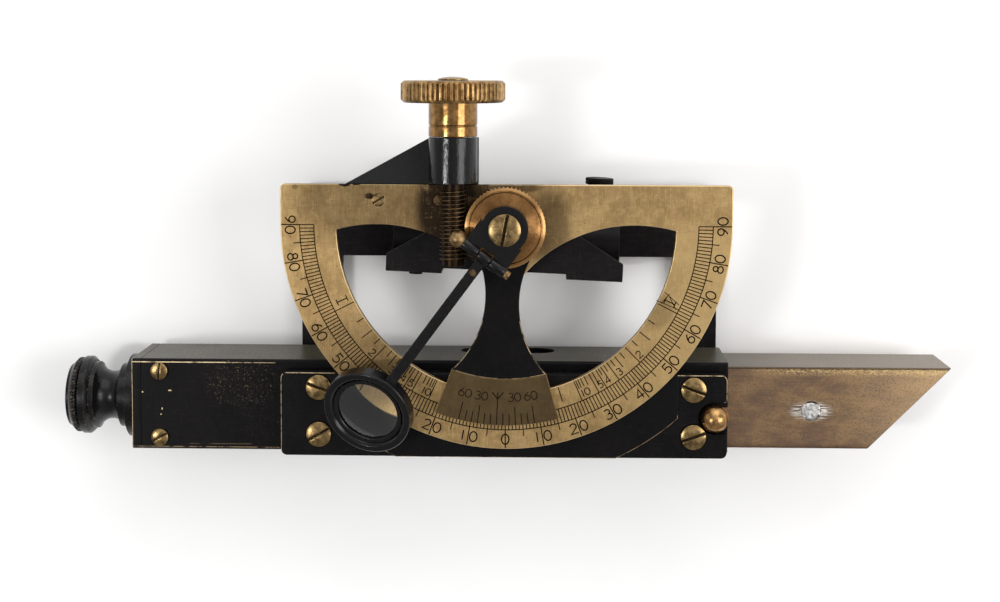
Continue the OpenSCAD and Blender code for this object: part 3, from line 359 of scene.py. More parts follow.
def spiritGlass(name):  # glass with spirit and its bubble under two marks
    material, tree, shader = newMaterial(name, roughness=0.03, specular=0.6)
    shader.inputs["Transmission Weight"].default_value = 0.6
    spot = place(tree)
    along = calc(tree, "ABSOLUTE", axisOf(tree, spot, "X"))
    cloud = grain(tree, spot, 0.5, 3)
    colour = blend(tree, remap(tree, cloud, 0.3, 0.7), paint(196, 206, 120), paint(214, 220, 150))
    bubble = remap(tree, reachFrom(tree, place(tree, stretch=(0.27, 0, 0)), "X"), 1.0, 0.92)
    bubble = times(tree, bubble, remap(tree, axisOf(tree, spot, "Z"), 36.2, 36.6))
    colour = blend(tree, bubble, colour, paint(238, 242, 226))
    marks = calc(tree, "LESS_THAN", calc(tree, "ABSOLUTE", calc(tree, "SUBTRACT", along, 4.2)), 0.12)
    dress(tree, shader, blend(tree, marks, colour, paint(24, 22, 20)))
    return material


def silveredMirror(name):
    material, tree, shader = newMaterial(name, metallic=1.0)
    bloom = grain(tree, place(tree), 0.8, 4, 0.65)
    colour = blend(tree, remap(tree, bloom, 0.55, 0.75, 0, 0.6), paint(226, 228, 230), paint(150, 146, 138))
    dress(tree, shader, colour, remap(tree, bloom, 0.4, 0.8, 0.02, 0.22))
    return material


def softSolder(name):
    material, tree, shader = newMaterial(name, metallic=1.0)
    spot = place(tree, (plugX, -7.1, plugZ))
    lump = grain(tree, spot, 1.4, 4, 0.6)
    fine = grain(tree, spot, 7.0, 3, 0.6)
    hole = remap(tree, grain(tree, place(tree, (3, 1, 8)), 1.7, 3, 0.6), 0.58, 0.66)
    colour = blend(tree, remap(tree, lump, 0.35, 0.65), paint(150, 149, 149), paint(214, 212, 208))
    colour = blend(tree, hole, colour, paint(70, 62, 56))
    dress(tree, shader, colour, remap(tree, fine, 0.2, 0.8, 0.34, 0.6), bumpOf(tree, calc(tree, "ADD", lump, fine), 0.6, 0.06))
    return material


def engravedFill(name):
    material, tree, shader = newMaterial(name, roughness=0.7, specular=0.04)
    worn = grain(tree, place(tree), 1.6, 3, 0.6)
    colour = blend(tree, remap(tree, worn, 0.5, 0.75), paint(9, 7, 6), paint(34, 25, 18))
    dress(tree, shader, colour, remap(tree, worn, 0.2, 0.8, 0.55, 0.8))
    return material


# places of wear, stains and painted shade, mm
def onFront(front, rows):  # rows of x, z, reach and strength on a flat front
    return [((x, front, z), reach, strength) for x, z, reach, strength in rows]


tubeFront, limbFront = -7.94, -13.5
tubeSkin = (-8.2, -7.85)
tubeLines = (({"X": (-65.4, -64.8), "Y": (-8.2, -6.5)}, 0.55),)
tubeStripes = [({"Z": (low, high), "X": (left, right), "Y": tubeSkin}, strength) for low, high, left, right, strength in (
    (15.2, 15.36, -65, -48, 0.85), (15.22, 15.34, -65, -40, 0.4), (0.36, 0.52, -65, -38, 0.26), (0.95, 1.05, -55, -44, 0.2))]
tubeNicks = onFront(tubeFront, (
    (-63.2, 10.0, (0.2, 1, 0.18), 0.8), (-58.4, 10.3, (0.44, 1, 0.17), 0.75),
    (-59.8, 7.1, (0.16, 1, 0.28), 0.7), (-60.0, 6.1, (0.2, 1, 0.18), 0.7)))
tubePatches = onFront(tubeFront, ((-46.0, 12.0, (9, 4, 6.5), 0.6), (-56, 4, (11, 4, 5), 0.2), (-42, 6, (6, 4, 7), 0.28)))
plateLines = (({"Z": (14.2, 14.8), "Y": (-12, -11.2)}, 0.6), ({"X": (-38.8, -38.1), "Y": (-12, -11)}, 0.5),
              ({"X": (37.2, 38.0), "Z": (9, 15)}, 0.45), ({"Z": (0, 7.5), "Y": (-12.4, -11.7)}, 0.3))
# oil and dirt about the worm and on the limb; the spot at x -27, z 16 is painted shade where the loupe shades the lower
# left of the limb
stainAndShadeSpots = onFront(limbFront, (
    (wormX - 0.8, 42.5, (8.6, 6, 12.0), 0.97), (wormX + 3.5, 45.2, (5.4, 5, 4.0), 0.9), (-4.5, 35.2, (8.0, 5, 5.0), 0.9),
    (0, 46.4, (9.0, 5, 1.4), 0.7), (7.4, 39.8, (4.6, 6, 9.0), 0.6), (-23, 44.5, (18, 5, 10), 0.54),
    (-27, 16, (13, 6, 11), 0.4), (25.6, 25.5, (3.6, 5, 4.0), 0.34), (-27.2, 46.9, (1.5, 3, 0.75), 1.2),
    (-25.2, 47.0, (1.3, 3, 0.55), 1.2), (-35.6, 46.3, (0.8, 3, 0.6), 0.6), (-23.0, 44.8, (1.2, 3, 0.8), 1.0)))
finish = {}


def addFinish(maker, name, *values, **more):
    finish[name] = maker(name, *values, **more)


addFinish(blackBronze, "tubeBlack", gloss=0.34, rub=0.05, lines=tubeLines, stripes=tubeStripes, patches=tubePatches,
          nicks=tubeNicks, dusty=(15.86, paint(78, 74, 62)))
addFinish(blackBronze, "plateBlack", gloss=0.36, rub=0.03, lines=plateLines)
addFinish(blackBronze, "frameBlack", 1.5, 0.42, rub=0.15)
addFinish(blackBronze, "bracketBlack", 0.8, 0.56, 0.3, 0.08, tube=((wormX, wormY, 0), 4.3, 47.2))
addFinish(blackBronze, "armBlack", gloss=0.4, specular=0.08, rub=0.1, lines=(({"Z": (5, 24)}, 0.34),))
addFinish(blackBronze, "loupeBlack", 0.9, 0.2, 0.28, 0.03)
addFinish(blackBronze, "eyeBlack", 1.0, 0.24, 0.26, 0.3, patches=(((-76.2, 0, 7.94), (2.4, 12, 12), 0.3),))
addFinish(sheetBrass, "limbBrass", paint(150, 122, 80), paint(194, 162, 112), paint(218, 186, 130), paint(236, 208, 158),
          stainAndShadeSpots, 0.35, 0.2)
addFinish(sheetBrass, "vernierBrass", paint(80, 66, 46), paint(100, 83, 58), paint(104, 86, 60), paint(134, 112, 77))
addFinish(drawnBrass, "drawBrass")
addFinish(turnedBrass, "wheelBrass", paint(150, 108, 66), paint(178, 132, 82), tuple(pivot), "Y", 3.5, 0.3, 0.3, 0.15,
          paint(220, 184, 124), circles=1.0)
addFinish(turnedBrass, "wormBrass", paint(58, 45, 33), paint(104, 82, 56), dull=0.34, cut=0.4, tarnish=0.9)
addFinish(turnedBrass, "collarBrass", paint(122, 91, 54), paint(156, 119, 74), (wormX, wormY, 58), "Z", 5.0, 0.13, 0.15, 0.3)
addFinish(turnedBrass, "knobBrass", paint(112, 86, 54), paint(170, 137, 90), (wormX, wormY, 61), "Z", 3.0, 0.3, 0.35, 0.75)
addFinish(turnedBrass, "screwBrass", paint(122, 101, 68), paint(158, 132, 90), dull=0.25, cut=0.2, tarnish=0.35)
addFinish(turnedBrass, "flushBrass", paint(92, 74, 50), paint(146, 120, 82), dull=0.32, cut=0.3, tarnish=0.8)
addFinish(turnedBrass, "pinBrass", paint(58, 46, 34), paint(104, 84, 58), dull=0.36, cut=0.3, tarnish=0.9)
addFinish(turnedBrass, "ballBrass", paint(134, 102, 64), paint(186, 146, 96), dull=0.22, cut=0.3, tarnish=0.7)
addFinish(turnedBrass, "hingeBrass", paint(112, 90, 62), paint(150, 123, 86), dull=0.38, cut=0.3, tarnish=0.8,
          hidden=((-3.45, -21.19, 35.25), 4.15))
addFinish(clearGlass, "lensGlass", paint(244, 246, 244), 1.5)
addFinish(spiritGlass, "vialGlass")
addFinish(silveredMirror, "mirrorSilver")
addFinish(softSolder, "solder")
addFinish(engravedFill, "scaleFill")
print("finishes made:", len(finish))


# pieces from the frame's nodes, with softened edges
softening = {"corner": radians(28), "flat": radians(0.4), "weld": 0.002, "steps": 2}  # edge angles, merging reach in mm
recessShadeRays = {"rays": 24, "turn": 2.39996, "lift": 0.004}  # rays from a face, golden angle, start above the face in mm


def addPiece(name, mesh, body):
    piece = bpy.data.objects.new(name, mesh)
    bpy.context.scene.collection.objects.link(piece)
    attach(piece, body)
    return piece


def meshOf(name, form, material):  # the form as a plain mesh with its finish
    mesh = bpy.data.meshes.new(name)
    form.to_mesh(mesh)
    form.free()
    mesh.materials.append(finish[material])
    return mesh


def bridge(form, rings):  # faces between each ring of points and the next
    for first, second in zip(rings, rings[1:]):
        for i in range(len(first)):
            j = (i + 1) % len(first)
            form.faces.new((first[i], first[j], second[j], second[i]))


def settled(piece):  # the piece takes its modifiers' result as a plain mesh
    graph = bpy.context.evaluated_depsgraph_get()
    mesh = bpy.data.meshes.new_from_object(piece.evaluated_get(graph), depsgraph=graph)
    mesh.name = piece.name
    piece.modifiers.clear()
    piece.data = mesh


def markRecesses(form, reach):  # how much of each face's view nearby metal blocks, for painted shade and grime in recesses
    solid = BVHTree.FromBMesh(form)
    layer = form.faces.layers.float.new("recess")
    rays = recessShadeRays["rays"]
    for face in form.faces:
        side = face.normal.orthogonal().normalized()
        other = face.normal.cross(side)
        start = face.calc_center_median() + face.normal * recessShadeRays["lift"]
        hits = 0
        for i in range(rays):
            rise, turn = sqrt((i + 0.5) / rays), recessShadeRays["turn"] * i
            flat = sqrt(1 - rise * rise)
            way = face.normal * rise + (side * cos(turn) + other * sin(turn)) * flat
            hits += solid.ray_cast(start, way, reach)[0] is not None
        face[layer] = hits / rays


def joinFlats(form):  # loose triangles made into whole faces
    bmesh.ops.remove_doubles(form, verts=form.verts, dist=softening["weld"])
    bmesh.ops.dissolve_limit(form, angle_limit=softening["flat"], verts=form.verts, edges=form.edges)


trimmed = {"vernier_arm": {"half": 5.5, "drop": 9.0, "turn": 2.5}}  # corners drawn in beside the hub, mm and degrees


def drawIn(form, half, drop, turn):
    lean = Matrix.Rotation(radians(turn), 3, "Y")
    for vert in form.verts:
        spot = lean.inverted() @ (vert.co - pivot)
        if abs(spot.x) > half and spot.z > -drop:
            spot.x = half if spot.x > 0 else -half
            vert.co = lean @ spot + pivot
    joinFlats(form)


def softenedPiece(name, node, width, material, recessShadeReach):
    form = bmesh.new()
    form.from_mesh(cadNodes[node].data)
    bmesh.ops.scale(form, vec=(1000, 1000, 1000), verts=form.verts)
    joinFlats(form)
    if node in trimmed:
        drawIn(form, **trimmed[node])
    form.normal_update()
    if recessShadeReach:
        markRecesses(form, recessShadeReach)
    rim = form.faces.layers.float.new("rim")
    corners = [e for e in form.edges if len(e.link_faces) == 2 and e.calc_face_angle(0) > softening["corner"]]
    made = bmesh.ops.bevel(form, geom=corners, offset=width, offset_type="OFFSET", segments=softening["steps"],
                           profile=0.5, affect="EDGES", clamp_overlap=False)
    for face in made["faces"]:
        face[rim] = 1.0
    for face in form.faces:
        face.smooth = True
    bmesh.ops.scale(form, vec=(mm, mm, mm), verts=form.verts)
    piece = addPiece(name, meshOf(name, form, material), bodyOf[node])
    weigh = piece.modifiers.new("flatFaces", "WEIGHTED_NORMAL")
    weigh.keep_sharp = False
    settled(piece)
    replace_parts(piece, node)


softened = {  # node: piece, edge width in mm, finish, slot, reach of the painted shade and grime in its recesses in mm
    "sight_tube": ("sightTube", 0.14, "tubeBlack", "black_bronze", None),
    "eye_end": ("eyeEnd", 0.14, "tubeBlack", "black_bronze", None),
    "end_screws": ("endScrews", 0.05, "screwBrass", "bright_brass", 0.8),
    "side_plate": ("sidePlate", 0.1, "plateBlack", "black_bronze", None),
    "plate_screws": ("plateScrews", 0.06, "screwBrass", "bright_brass", 1.0),
    "limb": ("limbPlate", 0.16, "limbBrass", "aged_brass", None),
    "rear_frame": ("rearFrame", 0.16, "frameBlack", "black_bronze", None),
    "frame_screws": ("rearFrameScrews", 0.06, "screwBrass", "bright_brass", 1.0),
    "worm_bracket": ("wormBracket", 0.14, "bracketBlack", "black_bronze", None),
    "bracket_screw": ("bracketScrew", 0.05, "flushBrass", "aged_brass", 0.7),
    "bracket_pin": ("bracketPin", 0.08, "pinBrass", "aged_brass", None),
    "vernier_arm": ("vernierArm", 0.12, "armBlack", "black_bronze", None),
    "vernier_plate": ("vernierPlate", 0.09, "vernierBrass", "aged_brass", None),
    "bubble_cradle": ("bubbleCradle", 0.14, "frameBlack", "black_bronze", None),
    "bubble_case": ("bubbleCase", 0.08, "frameBlack", "black_bronze", None),
    "case_plugs": ("bubbleCasePlugs", 0.12, "frameBlack", "black_bronze", None),
    "adjusting_screws": ("adjustingScrews", 0.08, "armBlack", "black_bronze", None),
    "centre_screw": ("centreScrew", 0.06, "screwBrass", "bright_brass", 1.0),
    "worm_shaft": ("wormShaft", 0.03, "wormBrass", "bright_brass", 0.7),
    "worm_collar": ("wormCollar", 0.1, "collarBrass", "bright_brass", 0.3),
    "knob": ("wormKnob", 0.04, "knobBrass", "bright_brass", 0.9),
    "knob_screw": ("knobScrew", 0.06, "screwBrass", "bright_brass", 0.8),
    "loupe_swivel": ("loupeSwivel", 0.07, "loupeBlack", "black_bronze", None),
    "hinge_pin": ("hingePin", 0.06, "hingeBrass", "bright_brass", 0.6),
    "loupe_arm": ("loupeArm", 0.08, "loupeBlack", "black_bronze", None),
    "loupe_cell": ("loupeCell", 0.1, "loupeBlack", "black_bronze", None),
    "lens_ring": ("lensRing", 0.04, "loupeBlack", "black_bronze", None),
    "draw_tube": ("drawTube", 0.08, "drawBrass", "aged_brass", None),
    "ball_stud": ("ballStud", 0.05, "ballBrass", "bright_brass", None),
    "wire_frame": ("wireFrame", 0.08, "screwBrass", "aged_brass", None),
    "eyepiece": ("eyepieceBody", 0.05, "eyeBlack", "black_bronze", None),
}
for node, (name, width, material, slot, recessShadeReach) in softened.items():
    softenedPiece(name, node, width, material, recessShadeReach)
print("softened pieces made:", len(softened))

kept = {  # nodes whose own mesh stays, with a finish
    "limb_bush": "screwBrass", "mirror": "mirrorSilver", "mirror_block": "plateBlack", "index_arbor": "screwBrass",
    "rear_trunnion": "screwBrass", "arm_rivet": "pinBrass", "cross_wire": "screwBrass",
}
for node, material in kept.items():
    slots = cadNodes[node].data.materials
    for index in range(len(slots)):
        slots[index] = finish[material]
print("kept nodes finished:", len(kept))


def glassPiece(name, node, material):  # a node's glass with its facets smoothed over
    form = bmesh.new()
    form.from_mesh(cadNodes[node].data)
    bmesh.ops.remove_doubles(form, verts=form.verts, dist=softening["weld"] * mm)
    for face in form.faces:
        face.smooth = True
    for edge in form.edges:
        edge.smooth = edge.calc_face_angle(0) < softening["corner"]
    mesh = meshOf(name, form, material)
    if "custom_normal" in mesh.attributes:
        mesh.attributes.remove(mesh.attributes["custom_normal"])
    piece = addPiece(name, mesh, bodyOf[node])
    piece.visible_shadow = piece.visible_diffuse = piece.visible_glossy = False  # light reaches what lies behind
    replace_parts(piece, node)


glasses = {  # node: piece, finish
    "loupe_lens": ("loupeLens", "lensGlass"), "eye_lens": ("eyeLens", "lensGlass"), "bubble_vial": ("bubbleVial", "vialGlass"),
}
for node, (name, material) in glasses.items():
    glassPiece(name, node, material)
print("glass pieces made:", len(glasses))


# worm wheel: a turned flange with a groove, and the teeth behind it; radii, and depths from the object's middle, in mm
wheel = {"teeth": 60, "tip": 6.75, "root": 6.4, "front": 18.44, "back": 16.04, "seat": 14.74, "boss": 4.1, "bore": 1.75,
         "groove": 5.95, "grooveHalf": 0.09, "grooveDepth": 0.06, "flat": 6.3, "flange": 6.68, "chamfer": 0.14, "lip": 0.12,
         "draft": 0.02, "flangeEnd": 0.25, "toothStart": 0.3, "toothFull": 0.4, "perTooth": 10}


def wheelRing(form, radius, depth, toothed=False):
    ring = []
    count = wheel["teeth"] * wheel["perTooth"]
    for i in range(count):
        turn = 2 * pi * i / count
        reach = radius
        if toothed:  # a gap faces the worm
            phase = abs((i / wheel["perTooth"]) % 1 - 0.5) * 2
            reach = radius - (wheel["tip"] - wheel["root"]) * min(1, max(0, (phase - 0.25) / 0.5))
        ring.append(form.verts.new(Vector((-reach * cos(turn), -depth, pivot.z + reach * sin(turn))) * mm))
    return ring


def makeWheel():
    w = wheel
    form = bmesh.new()
    front, half = w["front"], w["grooveHalf"]
    step = front - w["chamfer"]
    turns = [(w["bore"], front, 0), (w["groove"] - half, front, 0), (w["groove"], front - w["grooveDepth"], 0),
             (w["groove"] + half, front, 0), (w["flat"], front, 0), (w["flange"], step, 0),
             (w["flange"] + w["draft"], step - w["flangeEnd"], 0), (w["tip"] - w["lip"], step - w["toothStart"], 1),
             (w["tip"], step - w["toothFull"], 1), (w["tip"], w["back"] + w["lip"], 1),
             (w["tip"] - w["lip"], w["back"], 1), (w["boss"], w["back"], 0), (w["boss"], w["seat"], 0), (w["bore"], w["seat"], 0)]
    rings = [wheelRing(form, radius, depth, toothed) for radius, depth, toothed in turns]
    bridge(form, rings + rings[:1])
    bmesh.ops.recalc_face_normals(form, faces=form.faces)
    rim = form.faces.layers.float.new("rim")
    recess = form.faces.layers.float.new("recess")
    for face in form.faces:
        spot = face.calc_center_median() / mm
        reach = (spot - pivot).xz.length
        # the groove is marked half blocked, for painted shade and grime in it
        face[recess] = 0.5 if abs(reach - w["groove"]) < half else 0.0
        # the chamfer takes the painted rim highlight
        bevelled = -spot.y < front - w["draft"] and reach > w["flat"] and face.normal.y < -0.3
        face[rim] = 0.6 if bevelled else 0.0
    mesh = meshOf("wormWheel", form, "wheelBrass")
    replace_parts(addPiece("wormWheel", mesh, "index"), "worm_wheel")


makeWheel()


# soft-metal plug in the draw tube, dressed off by hand
plug = {"centre": (plugX, plugZ), "radius": 1.62, "face": 7.14, "depth": 0.7, "crown": 0.07, "lumps": 0.05, "ragged": 0.34,
        "around": 64, "rings": 9}


def makePlug():
    form = bmesh.new()
    x, z = plug["centre"]
    rings = []
    for k in range(plug["rings"] + 1):
        ring = []
        for i in range(plug["around"]):
            turn = 2 * pi * i / plug["around"]
            edge = plug["radius"] + plug["ragged"] * noise.noise(Vector((cos(turn), sin(turn), 4.2)) * 1.7)
            reach = edge * (1 - k / (plug["rings"] + 1))
            spot = Vector((x + reach * cos(turn), 0, z + reach * sin(turn)))
            rise = plug["crown"] * min(1, k / 2) + plug["lumps"] * noise.noise(spot * 1.9) * min(1, k)
            ring.append(form.verts.new(Vector((spot.x, -plug["face"] - rise, spot.z)) * mm))
        rings.append(ring)
    rings.insert(0, [form.verts.new((v.co.x, (-plug["face"] + plug["depth"]) * mm, v.co.z)) for v in rings[0]])
    bridge(form, rings)
    form.faces.new(rings[0])
    form.faces.new(rings[-1])
    bmesh.ops.recalc_face_normals(form, faces=form.faces)
    for face in form.faces:
        face.smooth = len(face.verts) == 4
    mesh = meshOf("solderPlug", form, "solder")
    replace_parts(addPiece("solderPlug", mesh, "draw"), "hole_fill")


makePlug()
print("wheel and plug made")


# engraved lines: a Geometry Nodes tree lays thin strips about the pivot
def newTree(name, sockets):
    tree = bpy.data.node_groups.new(name, "GeometryNodeTree")
    tree.interface.new_socket("Geometry", in_out="OUTPUT", socket_type="NodeSocketGeometry")
    for label, kind in sockets:
        tree.interface.new_socket(label, in_out="INPUT", socket_type="NodeSocket" + kind)
    return tree, tree.nodes.new("NodeGroupInput"), tree.nodes.new("NodeGroupOutput")


def tickTree():
    sockets = [("Count", "Int"), ("First", "Float"), ("Step", "Float"), ("Offset", "Float"), ("Gradient", "Bool"),
               ("Inner", "Float"), ("Outer", "Float"), ("Width", "Float"), ("Face", "Float"), ("Sink", "Float"),
               ("Pivot Height", "Float"), ("Fill", "Material")]
    tree, given, result = newTree("engravedTicks", sockets)
    take, join = given.outputs, tree.links.new
    index = tree.nodes.new("GeometryNodeInputIndex").outputs[0]
    number = calc(tree, "MULTIPLY_ADD", index, take["Step"], take["First"])
    slope = calc(tree, "ARCTAN2", 1.0, calc(tree, "ABSOLUTE", number))
    slope = times(tree, calc(tree, "ADD", slope, take["Offset"]), calc(tree, "SIGN", number))
    pick = tree.nodes.new("GeometryNodeSwitch")
    pick.input_type = "FLOAT"
    for socket, value in zip(pick.inputs, (take["Gradient"], calc(tree, "ADD", number, take["Offset"]), slope)):
        join(value, socket)
    angle = pick.outputs[0]
    middle = times(tree, calc(tree, "ADD", take["Inner"], take["Outer"]), 0.5)
    spot = tree.nodes.new("ShaderNodeCombineXYZ")
    join(times(tree, calc(tree, "SINE", angle), middle), spot.inputs[0])
    join(take["Face"], spot.inputs[1])
    down = times(tree, calc(tree, "COSINE", angle), middle)
    join(calc(tree, "SUBTRACT", take["Pivot Height"], down), spot.inputs[2])
    points = tree.nodes.new("GeometryNodePoints")
    join(take["Count"], points.inputs["Count"])
    join(spot.outputs[0], points.inputs["Position"])
    strip = tree.nodes.new("GeometryNodeMeshCube")
    size = tree.nodes.new("ShaderNodeCombineXYZ")
    join(take["Width"], size.inputs[0])
    join(take["Sink"], size.inputs[1])
    join(calc(tree, "SUBTRACT", take["Outer"], take["Inner"]), size.inputs[2])
    join(size.outputs[0], strip.inputs["Size"])
    turn = tree.nodes.new("ShaderNodeCombineXYZ")
    join(times(tree, angle, -1.0), turn.inputs[1])
    euler = tree.nodes.new("FunctionNodeEulerToRotation")
    join(turn.outputs[0], euler.inputs[0])
    copies = tree.nodes.new("GeometryNodeInstanceOnPoints")
    join(points.outputs[0], copies.inputs["Points"])
    join(strip.outputs["Mesh"], copies.inputs["Instance"])
    join(euler.outputs[0], copies.inputs["Rotation"])
    real = tree.nodes.new("GeometryNodeRealizeInstances")
    join(copies.outputs[0], real.inputs[0])
    fill = tree.nodes.new("GeometryNodeSetMaterial")
    join(real.outputs[0], fill.inputs["Geometry"])
    join(take["Fill"], fill.inputs["Material"])
    join(fill.outputs[0], result.inputs[0])
    return tree


ticks = tickTree()


def tickRow(row):  # one row of strips as a plain mesh
    piece = bpy.data.objects.new("tickRow", bpy.data.meshes.new("tickRow"))
    bpy.context.scene.collection.objects.link(piece)
    change = piece.modifiers.new("ticks", "NODES")
    change.node_group = ticks
    values = {"Gradient": False, "Offset": 0.0, "Sink": engraving["sink"] * mm, "Pivot Height": pivot.z * mm,
              "Fill": finish["scaleFill"], **row}
    for item in ticks.interface.items_tree:
        if item.in_out == "INPUT":
            change[item.identifier] = values[item.name]
    graph = bpy.context.evaluated_depsgraph_get()
    mesh = bpy.data.meshes.new_from_object(piece.evaluated_get(graph), depsgraph=graph)
    bpy.data.objects.remove(piece)
    return mesh


engraving = {  # sizes in mm, angles in degrees from straight down
    "line": 0.17, "stroke": 0.23, "sink": 0.03, "proud": 0.01,
    "limbFace": 13.54, "vernierFace": 14.74,
    "circles": (32.4, 34.8), "fiveEnd": 36.0, "tenEnd": 37.95,
    "gradientStart": 28.75, "gradientEnd": 32.4, "gradientOffset": 18.0, "halfLine": 2.3, "quarterLine": 1.35,
    "unitLine": 1.6, "zeroLine": 2.6, "gradientSpread": 0.42, "gradientStroke": 0.8,
    "digitHeight": 1.7, "digitSpread": 0.9, "digitRadius": 36.42,
    "vernierRest": -2.5, "vernierEdge": 33.72, "vernierStep": 11 / 6, "vernierLines": (1.9, 3.1, 5.5),
    "vernierDigit": 1.4, "vernierRadius": 29.0, "vernierSpread": 0.58, "vernierStroke": 0.64,
    "crowRadius": 29.3, "crowFoot": (0.95, 1.15), "scratch": 0.13,
    "scratches": (((25.4, -12.5), (29.2, -14.1)), ((26.2, -13.0), (27.6, -11.4)), ((26.8, -11.1), (29.2, -13.3)),
                  ((27.6, -11.9), (28.7, -14.1))),
}
gradientFigures = {  # mark: text, radius, height, distance from its line
    1: ("I", 30.5, 1.8, 1.15), **{mark: (str(mark), 31.3, 1.2, 0.85) for mark in (2, 3, 4, 5)}, 10: ("10", 31.3, 1.2, 1.0),
}


def depthOf(face):  # middle of a strip that stands proud of a face
    return (-engraving[face] - engraving["proud"] + engraving["sink"] / 2) * mm


def scaleRow(count, first, step, inner, outer, face="limbFace", width=1.0, **more):
    return tickRow({"Count": count, "First": first, "Step": step, "Inner": inner * mm, "Outer": outer * mm,
                    "Width": engraving["line"] * width * mm, "Face": depthOf(face), **more})


def arc(x, y, wide, tall, start, end, count=14):
    turns = [radians(start + (end - start) * i / count) for i in range(count + 1)]
    return [(x + wide * cos(a), y + tall * sin(a)) for a in turns]


def flipped(lines):
    return [[(-x, -y) for x, y in line] for line in lines]


sixLines = [[(0.2, 0.5), (0.02, 0.38), (-0.16, 0.19), (-0.27, 0.0), (-0.32, -0.17)], arc(0, -0.19, 0.32, 0.31, 180, -180, 20)]
digitLines = {  # strokes of each figure, on a figure one high
    "0": [arc(0, 0, 0.37, 0.5, 0, 360, 24)],
    "1": [[(0, -0.5), (0, 0.5)]],
    "2": [arc(0.0, 0.22, 0.31, 0.28, 165, -35, 12) + [(-0.36, -0.5), (0.37, -0.5)]],
    "3": [arc(-0.02, 0.25, 0.28, 0.25, 140, -90, 12), arc(-0.02, -0.23, 0.34, 0.27, 90, -145, 14)],
    "4": [[(0.15, -0.5), (0.15, 0.5), (-0.38, -0.2), (0.38, -0.2)]],
    "5": [[(0.3, 0.5), (-0.2, 0.5), (-0.25, 0.06)] + arc(-0.03, -0.18, 0.34, 0.32, 128, -140, 14)],
    "6": sixLines,
    "7": [[(-0.35, 0.5), (0.35, 0.5), (-0.1, -0.5)]],
    "8": [arc(0, 0.26, 0.25, 0.24, 0, 360, 18), arc(0, -0.23, 0.33, 0.27, 0, 360, 20)],
    "9": flipped(sixLines),
    "I": [[(0, -0.5), (0, 0.5)], [(-0.3, 0.5), (0.3, 0.5)], [(-0.3, -0.5), (0.3, -0.5)]],
}


def addStroke(form, line, width, spot):  # a thin closed ribbon along a line; spot turns a flat point into a place
    closed = len(line) > 3 and (Vector(line[0]) - Vector(line[-1])).length < 1e-6
    points = [Vector(p) for p in (line[:-1] if closed else line)]
    count = len(points)
    sides = []
    for i, here in enumerate(points):
        before = points[(i - 1) % count] if closed or i else None
        after = points[(i + 1) % count] if closed or i < count - 1 else None
        into = (here - before).normalized() if before is not None else (after - here).normalized()
        away = (after - here).normalized() if after is not None else into
        mid = (into + away).normalized() if (into + away).length > 1e-6 else into
        normal = Vector((-mid.y, mid.x))
        reach = width / 2 / max(0.5, normal.dot(Vector((-into.y, into.x))))
        sides.append((here + normal * reach, here - normal * reach))
    rings = []
    for left, right in sides:
        rings.append([form.verts.new(spot(p, level)) for p, level in ((left, 0), (right, 0), (right, 1), (left, 1))])
    bridge(form, rings + rings[:1] if closed else rings)
    if not closed:
        form.faces.new(rings[0])
        form.faces.new(rings[-1])


def figureAt(radius, angle, size, face):  # tops towards the pivot
    turn = radians(angle)
    right, up = Vector((cos(turn), sin(turn))), Vector((-sin(turn), cos(turn)))
    middle = -up * radius
    front = engraving[face] + engraving["proud"]

    def spot(point, level):
        flat = middle + right * point[0] * size + up * point[1] * size
        return Vector((flat.x, -front + (engraving["sink"] if level else 0), flat.y + pivot.z)) * mm
    return spot


def addFigures(form, text, radius, angle, size, spread, face, stroke):
    for i, letter in enumerate(text):
        lean = degrees((i - (len(text) - 1) / 2) * 2 * spread / radius)
        spot = figureAt(radius, angle + lean, size, face)
        for line in digitLines[letter]:
            addStroke(form, line, stroke / size, spot)


def addCircle(form, radius, start, end, width, face):
    spot = figureAt(0, 0, 1, face)
    count = int(abs(end - start) / 1.5)
    addStroke(form, arc(0, 0, radius, radius, start - 90, end - 90, count), width, spot)


def engravedPiece(name, body, rows, form):
    bmesh.ops.recalc_face_normals(form, faces=form.faces)
    for row in rows:
        form.from_mesh(row)
        bpy.data.meshes.remove(row)
    addPiece(name, meshOf(name, form, "scaleFill"), body)


e = engraving
degree = radians(1)
inner, outer = e["circles"]
limbRows = [scaleRow(181, -90 * degree, degree, inner, outer), scaleRow(18, -85 * degree, 10 * degree, outer, e["fiveEnd"]),
            scaleRow(19, -90 * degree, 10 * degree, outer, e["tenEnd"], width=1.15)]
start, end = e["gradientStart"], e["gradientEnd"]
for side in (1, -1):
    slope = {"Gradient": True, "Offset": e["gradientOffset"] * degree}
    limbRows += [scaleRow(5, side * 1.0, side * 1.0, start, end, **slope), scaleRow(1, side * 10.0, side, start, end, **slope),
                 scaleRow(4, side * 1.5, side * 1.0, start, start + e["halfLine"], **slope),
                 scaleRow(6, side * 1.25, side * 0.5, start, start + e["quarterLine"], **slope),
                 scaleRow(4, side * 6.0, side * 1.0, start, start + e["unitLine"], **slope),
                 scaleRow(1, side * e["gradientOffset"] * degree, 1.0, start, start + e["zeroLine"])]
form = bmesh.new()
for radius in e["circles"]:
    addCircle(form, radius, -90, 90, e["line"], "limbFace")
for mark in range(-90, 91, 10):
    addFigures(form, str(abs(mark)), e["digitRadius"], mark, e["digitHeight"], e["digitSpread"], "limbFace", e["stroke"])
for side in (1, -1):
    for mark, (text, radius, size, gap) in gradientFigures.items():
        angle = e["gradientOffset"] + degrees(atan(1 / mark)) + degrees(gap / radius)
        addFigures(form, text, radius, side * angle, size, e["gradientSpread"], "limbFace", e["stroke"] * e["gradientStroke"])
for line in e["scratches"]:
    addStroke(form, line, e["scratch"], figureAt(0, 0, 1, "limbFace"))
engravedPiece("limbScale", "frame", limbRows, form)

